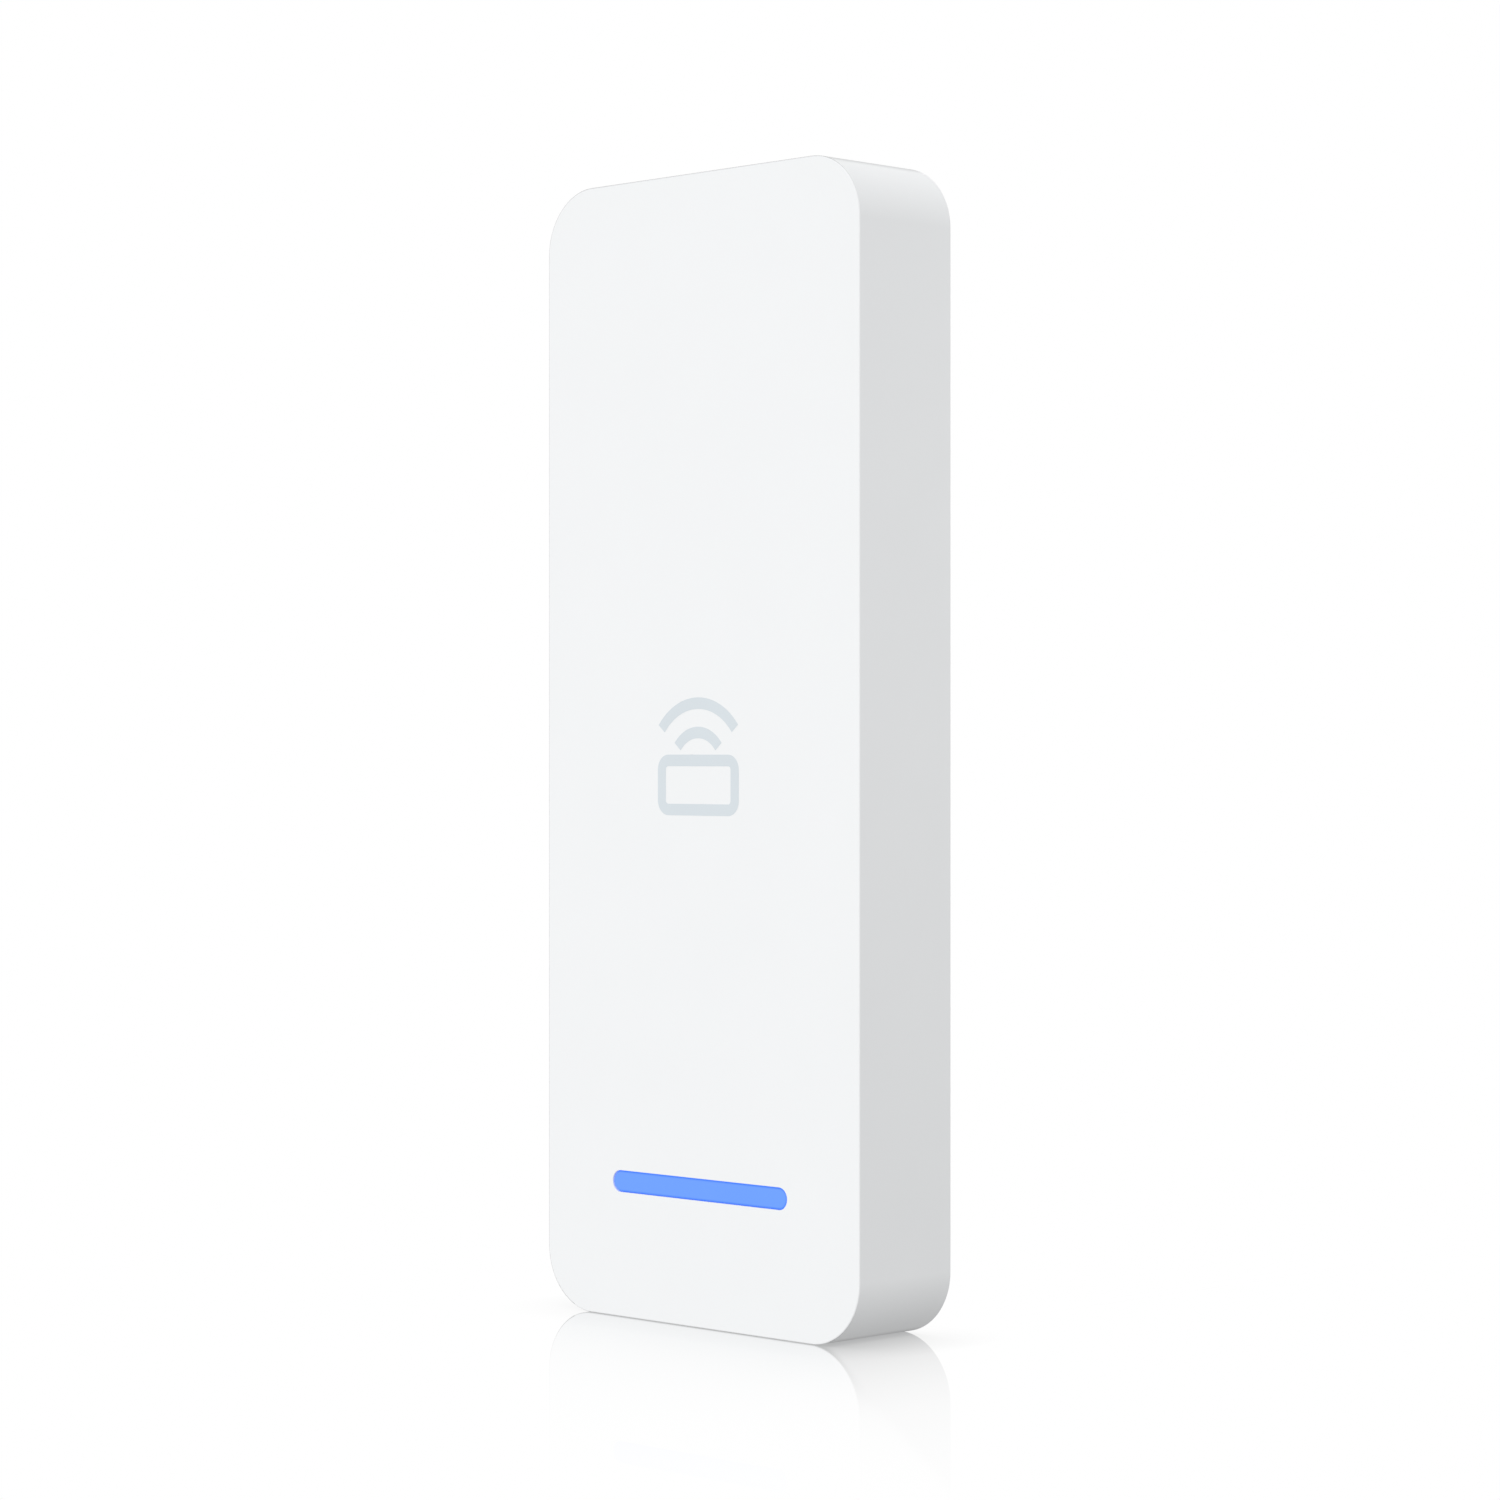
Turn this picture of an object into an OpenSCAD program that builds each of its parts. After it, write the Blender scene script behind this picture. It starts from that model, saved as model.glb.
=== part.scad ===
// Slim card reader for a door frame: a one-piece front cover over a sealed electronics bay, hung
// on a steel wall plate by two hooks and locked from below by one security screw.
// Frame: +Z up, the front faces -Y, and the wall is the plane y = 0. The origin is the centre of
// the reader's outline on that wall. Every depth below is a distance out from the wall.

/* [Body] */
// Height of the reader
body_h = 125; // [124:0.5:130]
// Width of the reader
body_w = 48; // [48:0.5:54]
// Depth from the wall to the front face
body_d = 14.5; // [14.5:0.1:16]
// Gap between the cover's rim and the wall
rim_gap = 0.3; // [0.2:0.05:0.5]
// Radius of the outline's corners
corner_r = 7; // [6.5:0.25:8]
// Radius along the front and rear edges
edge_r = 0.35; // [0.2:0.05:0.5]
// Thickness of the front wall and of the rim
wall_t = 1.6; // [1.4:0.1:1.7]
// Width of the ledge that carries the gasket
ledge_w = 1; // [0.9:0.05:1.1]

/* [Light bar] */
// Length of the light bar
bar_len = 26.9; // [20:0.1:28]
// Height of the light bar
bar_h = 2.4; // [2:0.1:3]
// Height of the light bar's centre below the reader's centre
bar_drop = 47.57; // [47:0.05:48]
// Gap around the lens in its slot
bar_gap = 0.08; // [0.05:0.01:0.15]
// How far the lens sits below the front face
bar_recess = 0.06; // [0.02:0.01:0.2]

/* [Wall plate] */
// Thickness of the steel sheet
plate_t = 1; // [0.8:0.1:1]
// Gap between the sheet's edge and the cover's rim
plate_gap = 0.6; // [0.5:0.05:0.8]
// Spacing of the two wall screws
screw_pitch = 83.3; // [83:0.1:84]
// Radius of the wall screw holes
screw_hole_r = 2; // [1.8:0.1:2.3]
// Width of the cable window
window_w = 18; // [14:0.5:18]
// Height of the cable window
window_h = 17; // [12:0.5:17]
// Width of each hook
hook_w = 7; // [6:0.25:7]
// Distance of each hook from the centre line
hook_x = 9; // [8.8:0.1:9.2]
// Height of the step that the reader hangs on
hook_z = 53; // [52.8:0.1:53.2]
// Channel between the sheet and the hook's lip
hook_channel = 3.2; // [3:0.1:3.4]

/* [Lock screw] */
// Radius of the screw's thread
lock_r = 1.5; // [1.4:0.1:1.5]
// Radius of the screw's head
lock_head_r = 2.5; // [2.2:0.1:2.6]
// Depth of the screw's axis from the wall
lock_depth = 6.5; // [6.2:0.1:6.8]
// Clearance of the thread in the tab
thread_gap = 0.02; // [0.01:0.01:0.05]

/* [Boards] */
// Thickness of the main board
board_t = 1; // [0.8:0.1:1.2]
// Depth of the main board's rear face
board_back = 8.4; // [8.2:0.1:8.6]
// Turns of the antenna coil
coil_turns = 5; // [3:1:7]
// Width of the antenna coil's track
track_w = 0.7; // [0.5:0.05:0.9]

/* [Network jack] */
// Outer width of the jack
jack_w = 16; // [15.6:0.1:16.2]
// Length of the jack
jack_len = 16; // [14:0.5:16]
// Width of the plug's opening
socket_w = 11.8; // [11.7:0.05:12]
// Height of the plug's opening
socket_h = 6.8; // [6.7:0.05:6.9]

/* [Hidden] */
$fn = 64;
eps = 0.01;            // overshoot of a cutting tool past the face it opens

// Depths from the wall, rear to front
cover_gap = 0.1;                          // between the steel sheet and the rear cover
cover_back = plate_t + cover_gap;
cover_t = 1.2;
cover_front = cover_back + cover_t;
gasket_t = 1;
ledge_depth = cover_front + gasket_t;
board_front = board_back + board_t;
wall_in = body_d - wall_t;                // inner face of the front wall
pocket_t = 1;                             // wall of every pocket moulded in the rear cover

// The cover's cavity: thin behind the ledge, thicker in front of it
rim_w = body_w - 2 * wall_t;
rim_h = body_h - 2 * wall_t;
rim_r = corner_r - wall_t;
bay_w = rim_w - 2 * ledge_w;
bay_h = rim_h - 2 * ledge_w;
bay_r = rim_r - ledge_w;
top_in = bay_h / 2;
sill_z = -52.4;                           // top of the sill that closes the sealed bay
sill_t = 1.6;
fit_gap = 0.1;                            // around the rear cover in the rim

// Wall plate
plate_w = rim_w - 2 * plate_gap;
plate_top = rim_h / 2 - plate_gap;
plate_r = 4;
window_r = 3;
tab_z = -57.5;                            // underside of the lock tab, the plate's lower edge
tab_t = plate_t;
tab_w = 14;
tab_reach = 9;
nut_h = 1.8;
nut_r = 2.6;
lip_h = 3;
lip_t = plate_t;
hook_reach = plate_t + hook_channel + lip_t;
window_z = -11.5;

// Lock screw and its seat at the bottom of the cover
seat_z = -60.3;                           // face that the washer bears on
boss_top = -58.5;
boss_w = 12;
washer_t = 0.5;
washer_r = lock_head_r + 0.1;
lock_head_h = 1.5;
lock_tip = 0.2;                           // thread showing above the nut
notch_r = lock_r + 0.2;
recess_r = lock_head_r + 0.35;

// Rear cover: hook pockets, wells for the wall screws' heads, and the cable recess
pocket_gap = 0.4;
pocket_deep = hook_reach + 1.4;
pocket_z0 = hook_z - 4.4;
pocket_z1 = hook_z + 4.6;
slot_top = hook_z + 0.1;
well_r = 4.5;
well_deep = 4.4;
recess_w = 18;
recess_z0 = -18;
recess_z1 = 17.7;
recess_deep = wall_in - 2.1;

// Network jack, mouth down, standing in a cut-out of the main board
shield_t = 0.25;
seal_t = 0.8;
jack_z0 = recess_z1 + pocket_t + seal_t;
jack_z1 = jack_z0 + jack_len;
jack_back = cover_front + 0.2;
jack_front = wall_in - 0.3;
socket_front = recess_deep - 0.2;
socket_back = socket_front - socket_h;
latch_w = 6.4;
contact_pitch = 1.02;
contact_w = 0.46;

// Case screws and board screws
case_x = 17.6;
case_top = 56.2;
case_low = -48.4;
post_r = 2.4;
pilot_r = 0.8;
pad_r = 2.8;
pad_t = ledge_depth - cover_front;
head_r = 1.8;
head_h = 1.2;
board_post_x = 18.2;
board_post_z = 30;
board_post_r = 1.9;
board_head_r = 1.5;
board_head_h = 0.9;
screw_gap = 0.02;

// Main board outline
board_w = bay_w - 1.6;
board_top = 52.8;
tongue_w = 29.2;
tongue_top = top_in - 0.8;
tongue_low = sill_z + 0.7;
board_low = -45;
cutout_gap = 0.4;

// Antenna, right behind the front wall
antenna_w = 40;
antenna_z0 = -26;
antenna_z1 = 17.5;
antenna_front = wall_in - 0.15;
antenna_t = 0.5;
track_t = 0.1;
track_gap = 0.5;
coil_edge = 1;
coil_low = 3.6;
ferrite_t = 0.3;
pin_z = antenna_z0 + 1.6;
pin_pitch = 2;
pin_r = 0.4;

// Button and tamper switch on the rear
reset_x = -15.5;
tamper_x = 15.5;
switch_z = -14;
button_r = 1.1;
plunger_r = 1;
rear_hole_gap = 0.2;
reset_travel = 0.3;
tamper_travel = 0.8;
foot_t = 1;                               // foot of the button, inside the rear cover
foot_gap = 0.1;                           // between that foot and its switch
collar_t = 0.8;                           // collar of the plunger
spring_wire = 0.24;
spring_rings = 4;
spring_r = 1;                             // to the middle of the wire

// Breathing hole and rating label
vent_x = tamper_x;
vent_z = -3;
vent_r = 0.6;
membrane_r = 2.6;
membrane_t = 0.25;
label_w = 30;
label_h = 11;
label_z = -28.5;
label_t = 0.2;
label_deep = 0.3;
label_gap = 0.2;

// Parts on the main board: x, z, width, height, and how far each stands off the board
radio_size = [8.5, 44, 11, 12, 2];
ceramic_size = [8.5, 54.5, 7, 2.4, 1.2];
controller_size = [-9, -34.5, 6, 6, 0.9];
lid_size = [-9, -34.5, 14, 12, 1.8];
lid_t = 0.3;
processor_size = [0, -28.6, 13, 13, 1.2];
memory_size = [12.4, -28.6, 6, 8, 0.9];
transformer_size = [15.3, 20.5, 8, 14, 5.2];
choke_size = [-15.3, 24, 7.4, 7.4, 4];
rectifier_size = [15.3, 1.4, 5, 6, 2.4];
rectifier_pitch = 7.5;
capacitor_x = -15.4;
capacitor_z = 4;
capacitor_pitch = 8;
capacitor_r = 3.1;
capacitor_h = 5.4;
beeper_x = -9;
beeper_z = 45;
beeper_r = 6;
beeper_h = 3;
beeper_hole_r = 0.9;
beeper_lid = 0.8;
switch_w = 4.4;
reset_switch_h = 2;
tamper_switch_h = 1.6;

// Cooling of the processor
pad_w = 12;
pad_h = 0.9;
spreader_w = 33;
spreader_h = 14;
spreader_t = 1.3;
foot_w = 1.2;

// Light: the diodes, the block and its frame
led_count = 6;
led_size = [2, 1.6, 0.8];
led_margin = 5;
guide_grow = 1.1;                         // block's height over the bar's
frame_side = 3;
frame_rim = 3.2;
flange_t = 0.8;
flange_grow = 2;

// ---------------------------------------------------------------- shapes shared by the parts

// A rectangle with round corners, about its centre
module round_rect(w, h, r) {
    square([w - 2 * r, h], center = true);
    square([w, h - 2 * r], center = true);
    for (x = [-1, 1], z = [-1, 1])
        translate([x * (w / 2 - r), z * (h / 2 - r)]) circle(r = r);
}

// A slot outline with fully round ends
module long_round(w, h) {
    square([w - h, h], center = true);
    for (x = [-1, 1]) translate([x * (w - h) / 2, 0]) circle(d = h);
}

// An outline drawn in X and Z, extruded between two depths from the wall
module deep(d0, d1) {
    translate([0, -d0, 0]) rotate([90, 0, 0]) linear_extrude(d1 - d0) children();
}

// A block about (x, z), between two depths
module chip(x, z, w, h, d0, d1) {
    translate([x - w / 2, -d1, z - h / 2]) cube([w, d1 - d0, h]);
}

// A round pin about (x, z), between two depths
module peg(x, z, r, d0, d1) {
    translate([x, -d0, z]) rotate([90, 0, 0]) cylinder(r = r, h = d1 - d0);
}

// A block between two heights, about x = 0
module bar(w, z0, z1, d0, d1) {
    translate([-w / 2, -d1, z0]) cube([w, d1 - d0, z1 - z0]);
}

// Section of the cover's edge, from a corner's centre out to the surface
module edge_section() {
    deep_d = body_d - rim_gap;
    square([corner_r - edge_r, deep_d]);
    translate([0, edge_r]) square([corner_r, deep_d - 2 * edge_r]);
    for (d = [edge_r, deep_d - edge_r])
        translate([corner_r - edge_r, d]) circle(r = edge_r);
}

// The cover's outside: four turned corners, four straight runs and the middle
module cover_outside() {
    cx = body_w / 2 - corner_r;
    cz = body_h / 2 - corner_r;
    translate([0, -rim_gap, 0]) rotate([90, 0, 0]) {
        for (a = [0, 180]) rotate(a) {
            translate([cx, cz, 0]) rotate_extrude(angle = 90) edge_section();
            translate([-cx, cz, 0]) rotate(90) rotate_extrude(angle = 90) edge_section();
            translate([cx, cz, 0]) rotate([90, 0, 0]) linear_extrude(2 * cz) edge_section();
            translate([-cx, cz, 0]) rotate([90, 0, 90]) linear_extrude(2 * cx) edge_section();
        }
        translate([-cx, -cz, 0]) cube([2 * cx, 2 * cz, body_d - rim_gap]);
    }
}

// Places of the four case screws
module at_case_screws() {
    for (x = [-case_x, case_x], z = [case_low, case_top]) translate([x, 0, z]) children();
}

// Places of the four board screws
module at_board_screws() {
    for (x = [-board_post_x, board_post_x], z = [-board_post_z, board_post_z])
        translate([x, 0, z]) children();
}

// ---------------------------------------------------------------- wall plate and lock screw

// One hook: a step bent out of the sheet, with a lip standing up from its end
module hook(x) {
    translate([x, 0, 0]) {
        bar(hook_w, hook_z - plate_t, hook_z, plate_t - eps, hook_reach);
        bar(hook_w, hook_z - eps, hook_z + lip_h, hook_reach - lip_t, hook_reach);
    }
}

// Steel sheet with its hooks, its lock tab and the nut pressed into that tab
module wall_plate() color("silver") {
    plate_h = plate_top - tab_z;
    blank_h = hook_channel + lip_t + lip_h;
    difference() {
        union() {
            deep(0, plate_t)
                translate([0, (plate_top + tab_z) / 2]) round_rect(plate_w, plate_h, plate_r);
            for (x = [-hook_x, hook_x]) hook(x);
            bar(tab_w, tab_z, tab_z + tab_t, plate_t / 2, tab_reach);
            translate([0, -lock_depth, tab_z + tab_t - eps]) cylinder(r = nut_r, h = nut_h + eps);
        }
        deep(-eps, plate_t + eps) translate([0, window_z]) round_rect(window_w, window_h, window_r);
        for (x = [-hook_x, hook_x])
            translate([x, 0, 0])
                bar(hook_w, hook_z - plate_t - blank_h, hook_z - plate_t, -eps, plate_t + eps);
        for (z = [-screw_pitch / 2, screw_pitch / 2]) peg(0, z, screw_hole_r, -eps, plate_t + eps);
        translate([0, -lock_depth, tab_z - eps]) cylinder(r = lock_r + thread_gap, h = 4);
    }
}

// Security screw: pan head with a pinned six-sided socket, pointing up into the tab
module lock_screw() color("dimgray") {
    head_top = seat_z - washer_t;
    tip_z = tab_z + tab_t + nut_h + lock_tip;
    socket_deep = 0.9;
    translate([0, -lock_depth, 0]) difference() {
        union() {
            translate([0, 0, head_top - lock_head_h]) cylinder(r = lock_head_r, h = lock_head_h);
            translate([0, 0, head_top - eps]) cylinder(r = lock_r, h = tip_z - head_top + eps);
        }
        translate([0, 0, head_top - lock_head_h - eps]) difference() {
            cylinder(r = 1.2, h = socket_deep, $fn = 6);
            translate([0, 0, -eps]) cylinder(r = 0.4, h = socket_deep + 2 * eps);
        }
    }
}

// Washer held on the screw's neck
module lock_washer() color("gainsboro") {
    translate([0, -lock_depth, seat_z - washer_t]) difference() {
        cylinder(r = washer_r, h = washer_t);
        translate([0, 0, -eps]) cylinder(r = lock_r + 0.1, h = washer_t + 2 * eps);
    }
}

// ---------------------------------------------------------------- front cover and light bar

// Notch open to the rear, so that the cover swings off the screw
module open_notch(r, z0, z1) {
    translate([0, -lock_depth, z0]) cylinder(r = r, h = z1 - z0);
    bar(2 * r, z0, z1, 0, lock_depth);
}

// One-piece white cover: front, sides, ledge, screw posts, sill and lock boss
module front_cover() color("whitesmoke") {
    bay_low = sill_z - sill_t;
    difference() {
        union() {
            difference() {
                cover_outside();
                // shallow space behind the ledge
                deep(0, ledge_depth) round_rect(rim_w, rim_h, rim_r);
                // sealed bay in front of the ledge
                intersection() {
                    deep(ledge_depth - eps, wall_in) round_rect(bay_w, bay_h, bay_r);
                    bar(body_w, sill_z, body_h / 2, 0, body_d);
                }
                // open bay below the sill
                intersection() {
                    deep(ledge_depth - eps, wall_in) round_rect(rim_w, rim_h, rim_r);
                    bar(body_w, -body_h / 2, bay_low, 0, body_d);
                }
            }
            at_case_screws() peg(0, 0, post_r, ledge_depth, wall_in + eps);
            at_board_screws() peg(0, 0, board_post_r, board_front, wall_in + eps);
            bar(boss_w, -rim_h / 2 - eps, boss_top, rim_gap + edge_r, wall_in + eps);
        }
        deep(wall_in - eps, body_d + eps) translate([0, -bar_drop]) long_round(bar_len, bar_h);
        at_case_screws() peg(0, 0, pilot_r, ledge_depth - eps, wall_in - 1);
        at_board_screws() peg(0, 0, pilot_r, board_front - eps, wall_in - 0.3);
        open_notch(notch_r, seat_z - eps, boss_top + eps);
        open_notch(recess_r, -body_h / 2 - eps, seat_z);
    }
}

// Lens: a long round window with a flange behind the wall
module light_bar() color("dodgerblue") {
    lens_gap = 2 * bar_gap;
    translate([0, 0, -bar_drop]) {
        deep(wall_in - eps, body_d - bar_recess) long_round(bar_len - lens_gap, bar_h - lens_gap);
        deep(wall_in - flange_t, wall_in) long_round(bar_len + flange_grow, bar_h + flange_grow);
    }
}

// Clear block that spreads the light along the lens
module light_guide() color("aliceblue") {
    chip(0, -bar_drop, bar_len - 0.8, bar_h + guide_grow, board_front + 1, wall_in - flange_t);
}

// White frame that keeps the light inside the block
module light_reflector() color("white") {
    difference() {
        chip(0, -bar_drop, bar_len + frame_side, bar_h + frame_rim, board_front, wall_in - flange_t);
        chip(0, -bar_drop, bar_len - 0.6, bar_h + guide_grow + 0.2, board_front - eps, wall_in);
    }
}

// Row of side-by-side light sources on the main board
module status_leds() color("khaki") {
    step = (bar_len - led_margin) / (led_count - 1);
    for (i = [0 : led_count - 1])
        chip((i - (led_count - 1) / 2) * step, -bar_drop, led_size[0], led_size[1],
             board_front, board_front + led_size[2]);
}

// ---------------------------------------------------------------- antenna

// Thin board glued behind the front wall
module antenna_board() color("darkgreen") {
    deep(antenna_front - antenna_t, antenna_front)
        translate([0, (antenna_z0 + antenna_z1) / 2]) round_rect(antenna_w, antenna_z1 - antenna_z0, 2);
}

// One turn of the coil: up the left, over the top, down the right, and back along the bottom
// to where the next turn starts
module coil_turn(i, step) {
    x = antenna_w / 2 - coil_edge - i * step;
    z1 = antenna_z1 - coil_edge - i * step;
    z0 = antenna_z0 + coil_low + i * step;
    start = i == 0 ? z0 : z0 - step;
    translate([-x, start]) square([track_w, z1 - start]);
    translate([-x, z1 - track_w]) square([2 * x, track_w]);
    translate([x - track_w, z0]) square([track_w, z1 - z0]);
    translate([step - x, z0]) square([2 * x - step, track_w]);
}

// Printed spiral on the front of the antenna board
module antenna_coil() color("chocolate") {
    deep(antenna_front, antenna_front + track_t)
        for (i = [0 : coil_turns - 1]) coil_turn(i, track_w + track_gap);
}

// Sheet that keeps the field off the main board
module ferrite_sheet() color("dimgray") {
    z0 = antenna_z0 + 3.6;
    z1 = antenna_z1 - 0.6;
    chip(0, (z0 + z1) / 2, antenna_w - 1.2, z1 - z0,
         antenna_front - antenna_t - ferrite_t, antenna_front - antenna_t);
}

// Pins between the antenna board and the main board
module antenna_pins() color("gold") {
    for (i = [-1.5 : 1 : 1.5])
        peg(i * pin_pitch, pin_z, pin_r, board_front, antenna_front - antenna_t);
}

// ---------------------------------------------------------------- main board and what it carries

// Outline of the board, with a tongue between the screw posts at each end
module board_outline() {
    translate([-board_w / 2, board_low]) square([board_w, board_top - board_low]);
    translate([-tongue_w / 2, tongue_low]) square([tongue_w, tongue_top - tongue_low]);
}

// Main board, cut out round the cable recess and the jack
module main_board() color("darkgreen") {
    tub_w = recess_w + 2 * (pocket_t + cutout_gap);
    tub_low = recess_z0 - pocket_t - cutout_gap;
    difference() {
        deep(board_back, board_front) board_outline();
        bar(tub_w, tub_low, jack_z0 - cutout_gap, board_back - eps, board_front + eps);
        bar(jack_w + 2 * cutout_gap, jack_z0 - 2 * cutout_gap, jack_z1 + cutout_gap,
            board_back - eps, board_front + eps);
        at_board_screws() peg(0, 0, pilot_r + 0.2, board_back - eps, board_front + eps);
    }
}

// A part on the board's front, and one on its rear: [x, z, width, height, how far it stands off]
module on_front(p) {
    chip(p[0], p[1], p[2], p[3], board_front, board_front + p[4]);
}

module on_back(p) {
    chip(p[0], p[1], p[2], p[3], board_back - p[4], board_back);
}

// Shielded radio, near the top of the board's front
module radio_module() color("lightgray") on_front(radio_size);

// Ceramic antenna above the radio
module radio_antenna() color("white") on_front(ceramic_size);

// Controller of the card antenna
module reader_chip() color("black") on_front(controller_size);

// Tin lid over the controller
module reader_shield() color("gainsboro") {
    difference() {
        on_front(lid_size);
        chip(lid_size[0], lid_size[1], lid_size[2] - 2 * lid_t, lid_size[3] - 2 * lid_t,
             board_front - eps, board_front + lid_size[4] - lid_t);
    }
}

// Main processor on the board's rear
module processor() color("black") on_back(processor_size);

// Two memory chips beside the processor
module memory_chips() color("black") {
    for (a = [0, 1]) mirror([a, 0, 0]) on_back(memory_size);
}

// Soft pad between the processor and the spreader
module thermal_pad() color("lightblue") {
    face = board_back - processor_size[4];
    chip(processor_size[0], processor_size[1], pad_w, pad_w, face - pad_h, face);
}

// Aluminium plate on four feet over the processor
module heat_spreader() color("silver") {
    under = board_back - processor_size[4] - pad_h;
    z = processor_size[1];
    foot_x = (spreader_w - foot_w) / 2;
    foot_z = (spreader_h - foot_w) / 2 - 0.1;
    chip(0, z, spreader_w, spreader_h, under - spreader_t, under);
    for (x = [-foot_x, foot_x], up = [-foot_z, foot_z])
        chip(x, z + up, foot_w, foot_w, under - eps, board_back);
}

// Isolating transformer for the network pairs
module network_transformer() color("black") on_back(transformer_size);

// Square choke of the power converter
module power_inductor() color("dimgray") on_back(choke_size);

// Two upright capacitors
module power_capacitors() color("silver") {
    for (z = [0, capacitor_pitch])
        peg(capacitor_x, capacitor_z + z, capacitor_r, board_back - capacitor_h, board_back);
}

// Two rectifiers for the power taken from the network pairs
module rectifiers() color("black") {
    for (z = [0, rectifier_pitch]) translate([0, 0, z]) on_back(rectifier_size);
}

// Round sounder with a hole in its lid
module beeper() color("black") {
    difference() {
        peg(beeper_x, beeper_z, beeper_r, board_front, board_front + beeper_h);
        peg(beeper_x, beeper_z, beeper_hole_r, board_front + beeper_h - beeper_lid,
            board_front + beeper_h + eps);
    }
}

// ---------------------------------------------------------------- network jack

// Space that the plug enters, with the channel for its latch
module socket_space() {
    bar(socket_w, jack_z0 - 1, jack_z1 - 2.2, socket_back, socket_front);
    bar(latch_w, jack_z0 - 1, jack_z1 - 2.2, jack_back, socket_back + eps);
}

// Moulded housing
module jack_housing() color("black") {
    difference() {
        bar(jack_w - 2 * shield_t, jack_z0 + shield_t, jack_z1 - shield_t,
            jack_back + shield_t, jack_front - shield_t);
        socket_space();
    }
}

// Folded metal shell, open at the mouth
module jack_shield() color("silver") {
    difference() {
        bar(jack_w, jack_z0, jack_z1, jack_back, jack_front);
        bar(jack_w - 2 * shield_t, jack_z0 + shield_t, jack_z1 - shield_t,
            jack_back + shield_t, jack_front - shield_t);
        bar(socket_w, jack_z0 - eps, jack_z0 + 1, socket_back, socket_front);
        bar(latch_w, jack_z0 - eps, jack_z0 + 1, jack_back + shield_t, socket_back + eps);
    }
}

// Eight spring contacts on the socket's front wall
module jack_contacts() color("gold") {
    root = jack_z1 - 2.2;
    for (i = [-3.5 : 1 : 3.5])
        translate([i * contact_pitch - contact_w / 2, 0, 0])
            rotate([90, 0, 90]) linear_extrude(contact_w) polygon([
                [-socket_front, jack_z0 + 3], [-socket_front, root], [0.35 - socket_front, root],
                [0.35 - socket_front, jack_z0 + 3.6], [2 - socket_front, jack_z0 + 8.4],
                [2.3 - socket_front, jack_z0 + 8.2], [0.5 - socket_front, jack_z0 + 3]]);
}

// Rubber frame between the jack's mouth and the cable recess
module jack_seal() color("dimgray") {
    z0 = recess_z1 + pocket_t;
    difference() {
        bar(jack_w - 0.4, z0, jack_z0, jack_back + 0.1, recess_deep + pocket_t - 0.1);
        bar(socket_w + 0.4, z0 - eps, jack_z0 + eps, jack_back + 0.6, recess_deep);
    }
}

// ---------------------------------------------------------------- reset button and tamper switch

// Small square switch body on the main board
module switch_body(x, tall) {
    on_back([x, switch_z, switch_w, switch_w, tall]);
}

// Switch under the reset button
module reset_switch() color("dimgray") switch_body(reset_x, reset_switch_h);

// Reset button with a foot that keeps it behind the rear cover
module reset_button() color("lightgray") {
    foot = board_back - reset_switch_h - reset_travel - foot_gap;
    peg(reset_x, switch_z, button_r, cover_back + 0.2, foot);
    peg(reset_x, switch_z, button_r + 0.6, foot - foot_t, foot);
}

// Switch behind the tamper plunger
module tamper_switch() color("black") switch_body(tamper_x, tamper_switch_h);

// Plunger that rests on the wall plate
module tamper_plunger() color("ivory") {
    collar_back = cover_front + 1.2 + tamper_travel;
    peg(tamper_x, switch_z, plunger_r, plate_t + 0.02, collar_back + eps);
    peg(tamper_x, switch_z, plunger_r + 0.7, collar_back, collar_back + collar_t);
}

// Spring of the plunger, as stacked rings joined by short posts
module tamper_spring() color("silver") {
    spring_back = cover_front + 1.2 + tamper_travel + collar_t + 0.02;
    spring_front = board_back - tamper_switch_h - 0.02;
    step = (spring_front - spring_back - spring_wire) / (spring_rings - 1);
    for (i = [0 : spring_rings - 1]) {
        back = spring_back + i * step;
        difference() {
            peg(tamper_x, switch_z, spring_r + spring_wire / 2, back, back + spring_wire);
            peg(tamper_x, switch_z, spring_r - spring_wire / 2, back - eps, back + spring_wire + eps);
        }
    }
    for (i = [0 : spring_rings - 2])
        translate([i % 2 == 0 ? spring_r : -spring_r, 0, 0])
            chip(tamper_x, switch_z, spring_wire * 0.8, spring_wire,
                 spring_back + i * step + spring_wire / 2, spring_back + (i + 1) * step + spring_wire / 2);
}

// Ring seal round the plunger, inside the rear cover
module tamper_seal() color("black") {
    difference() {
        peg(tamper_x, switch_z, plunger_r + 1, cover_front, cover_front + 0.9);
        peg(tamper_x, switch_z, plunger_r + 0.05, cover_front - eps, cover_front + 0.9 + eps);
    }
}

// ---------------------------------------------------------------- rear cover

// Outline of the rear cover, cut straight at the sill
module cover_outline(inset) {
    w = rim_w - 2 * fit_gap - 2 * inset;
    low = sill_z - sill_t + fit_gap + inset;
    intersection() {
        round_rect(w, rim_h - 2 * fit_gap - 2 * inset, rim_r - fit_gap - inset);
        translate([-body_w, low]) square([2 * body_w, body_h]);
    }
}

// Outside of every pocket, well and recess
module pocket_walls() {
    for (x = [-hook_x, hook_x])
        translate([x, 0, 0])
            bar(hook_w + 2 * (pocket_gap + pocket_t), pocket_z0 - pocket_t, pocket_z1 + pocket_t,
                cover_front - eps, pocket_deep + pocket_t);
    for (z = [-screw_pitch / 2, screw_pitch / 2])
        peg(0, z, well_r + pocket_t, cover_front - eps, well_deep + pocket_t);
    bar(recess_w + 2 * pocket_t, recess_z0 - pocket_t, recess_z1 + pocket_t,
        cover_front - eps, recess_deep + pocket_t);
}

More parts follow.
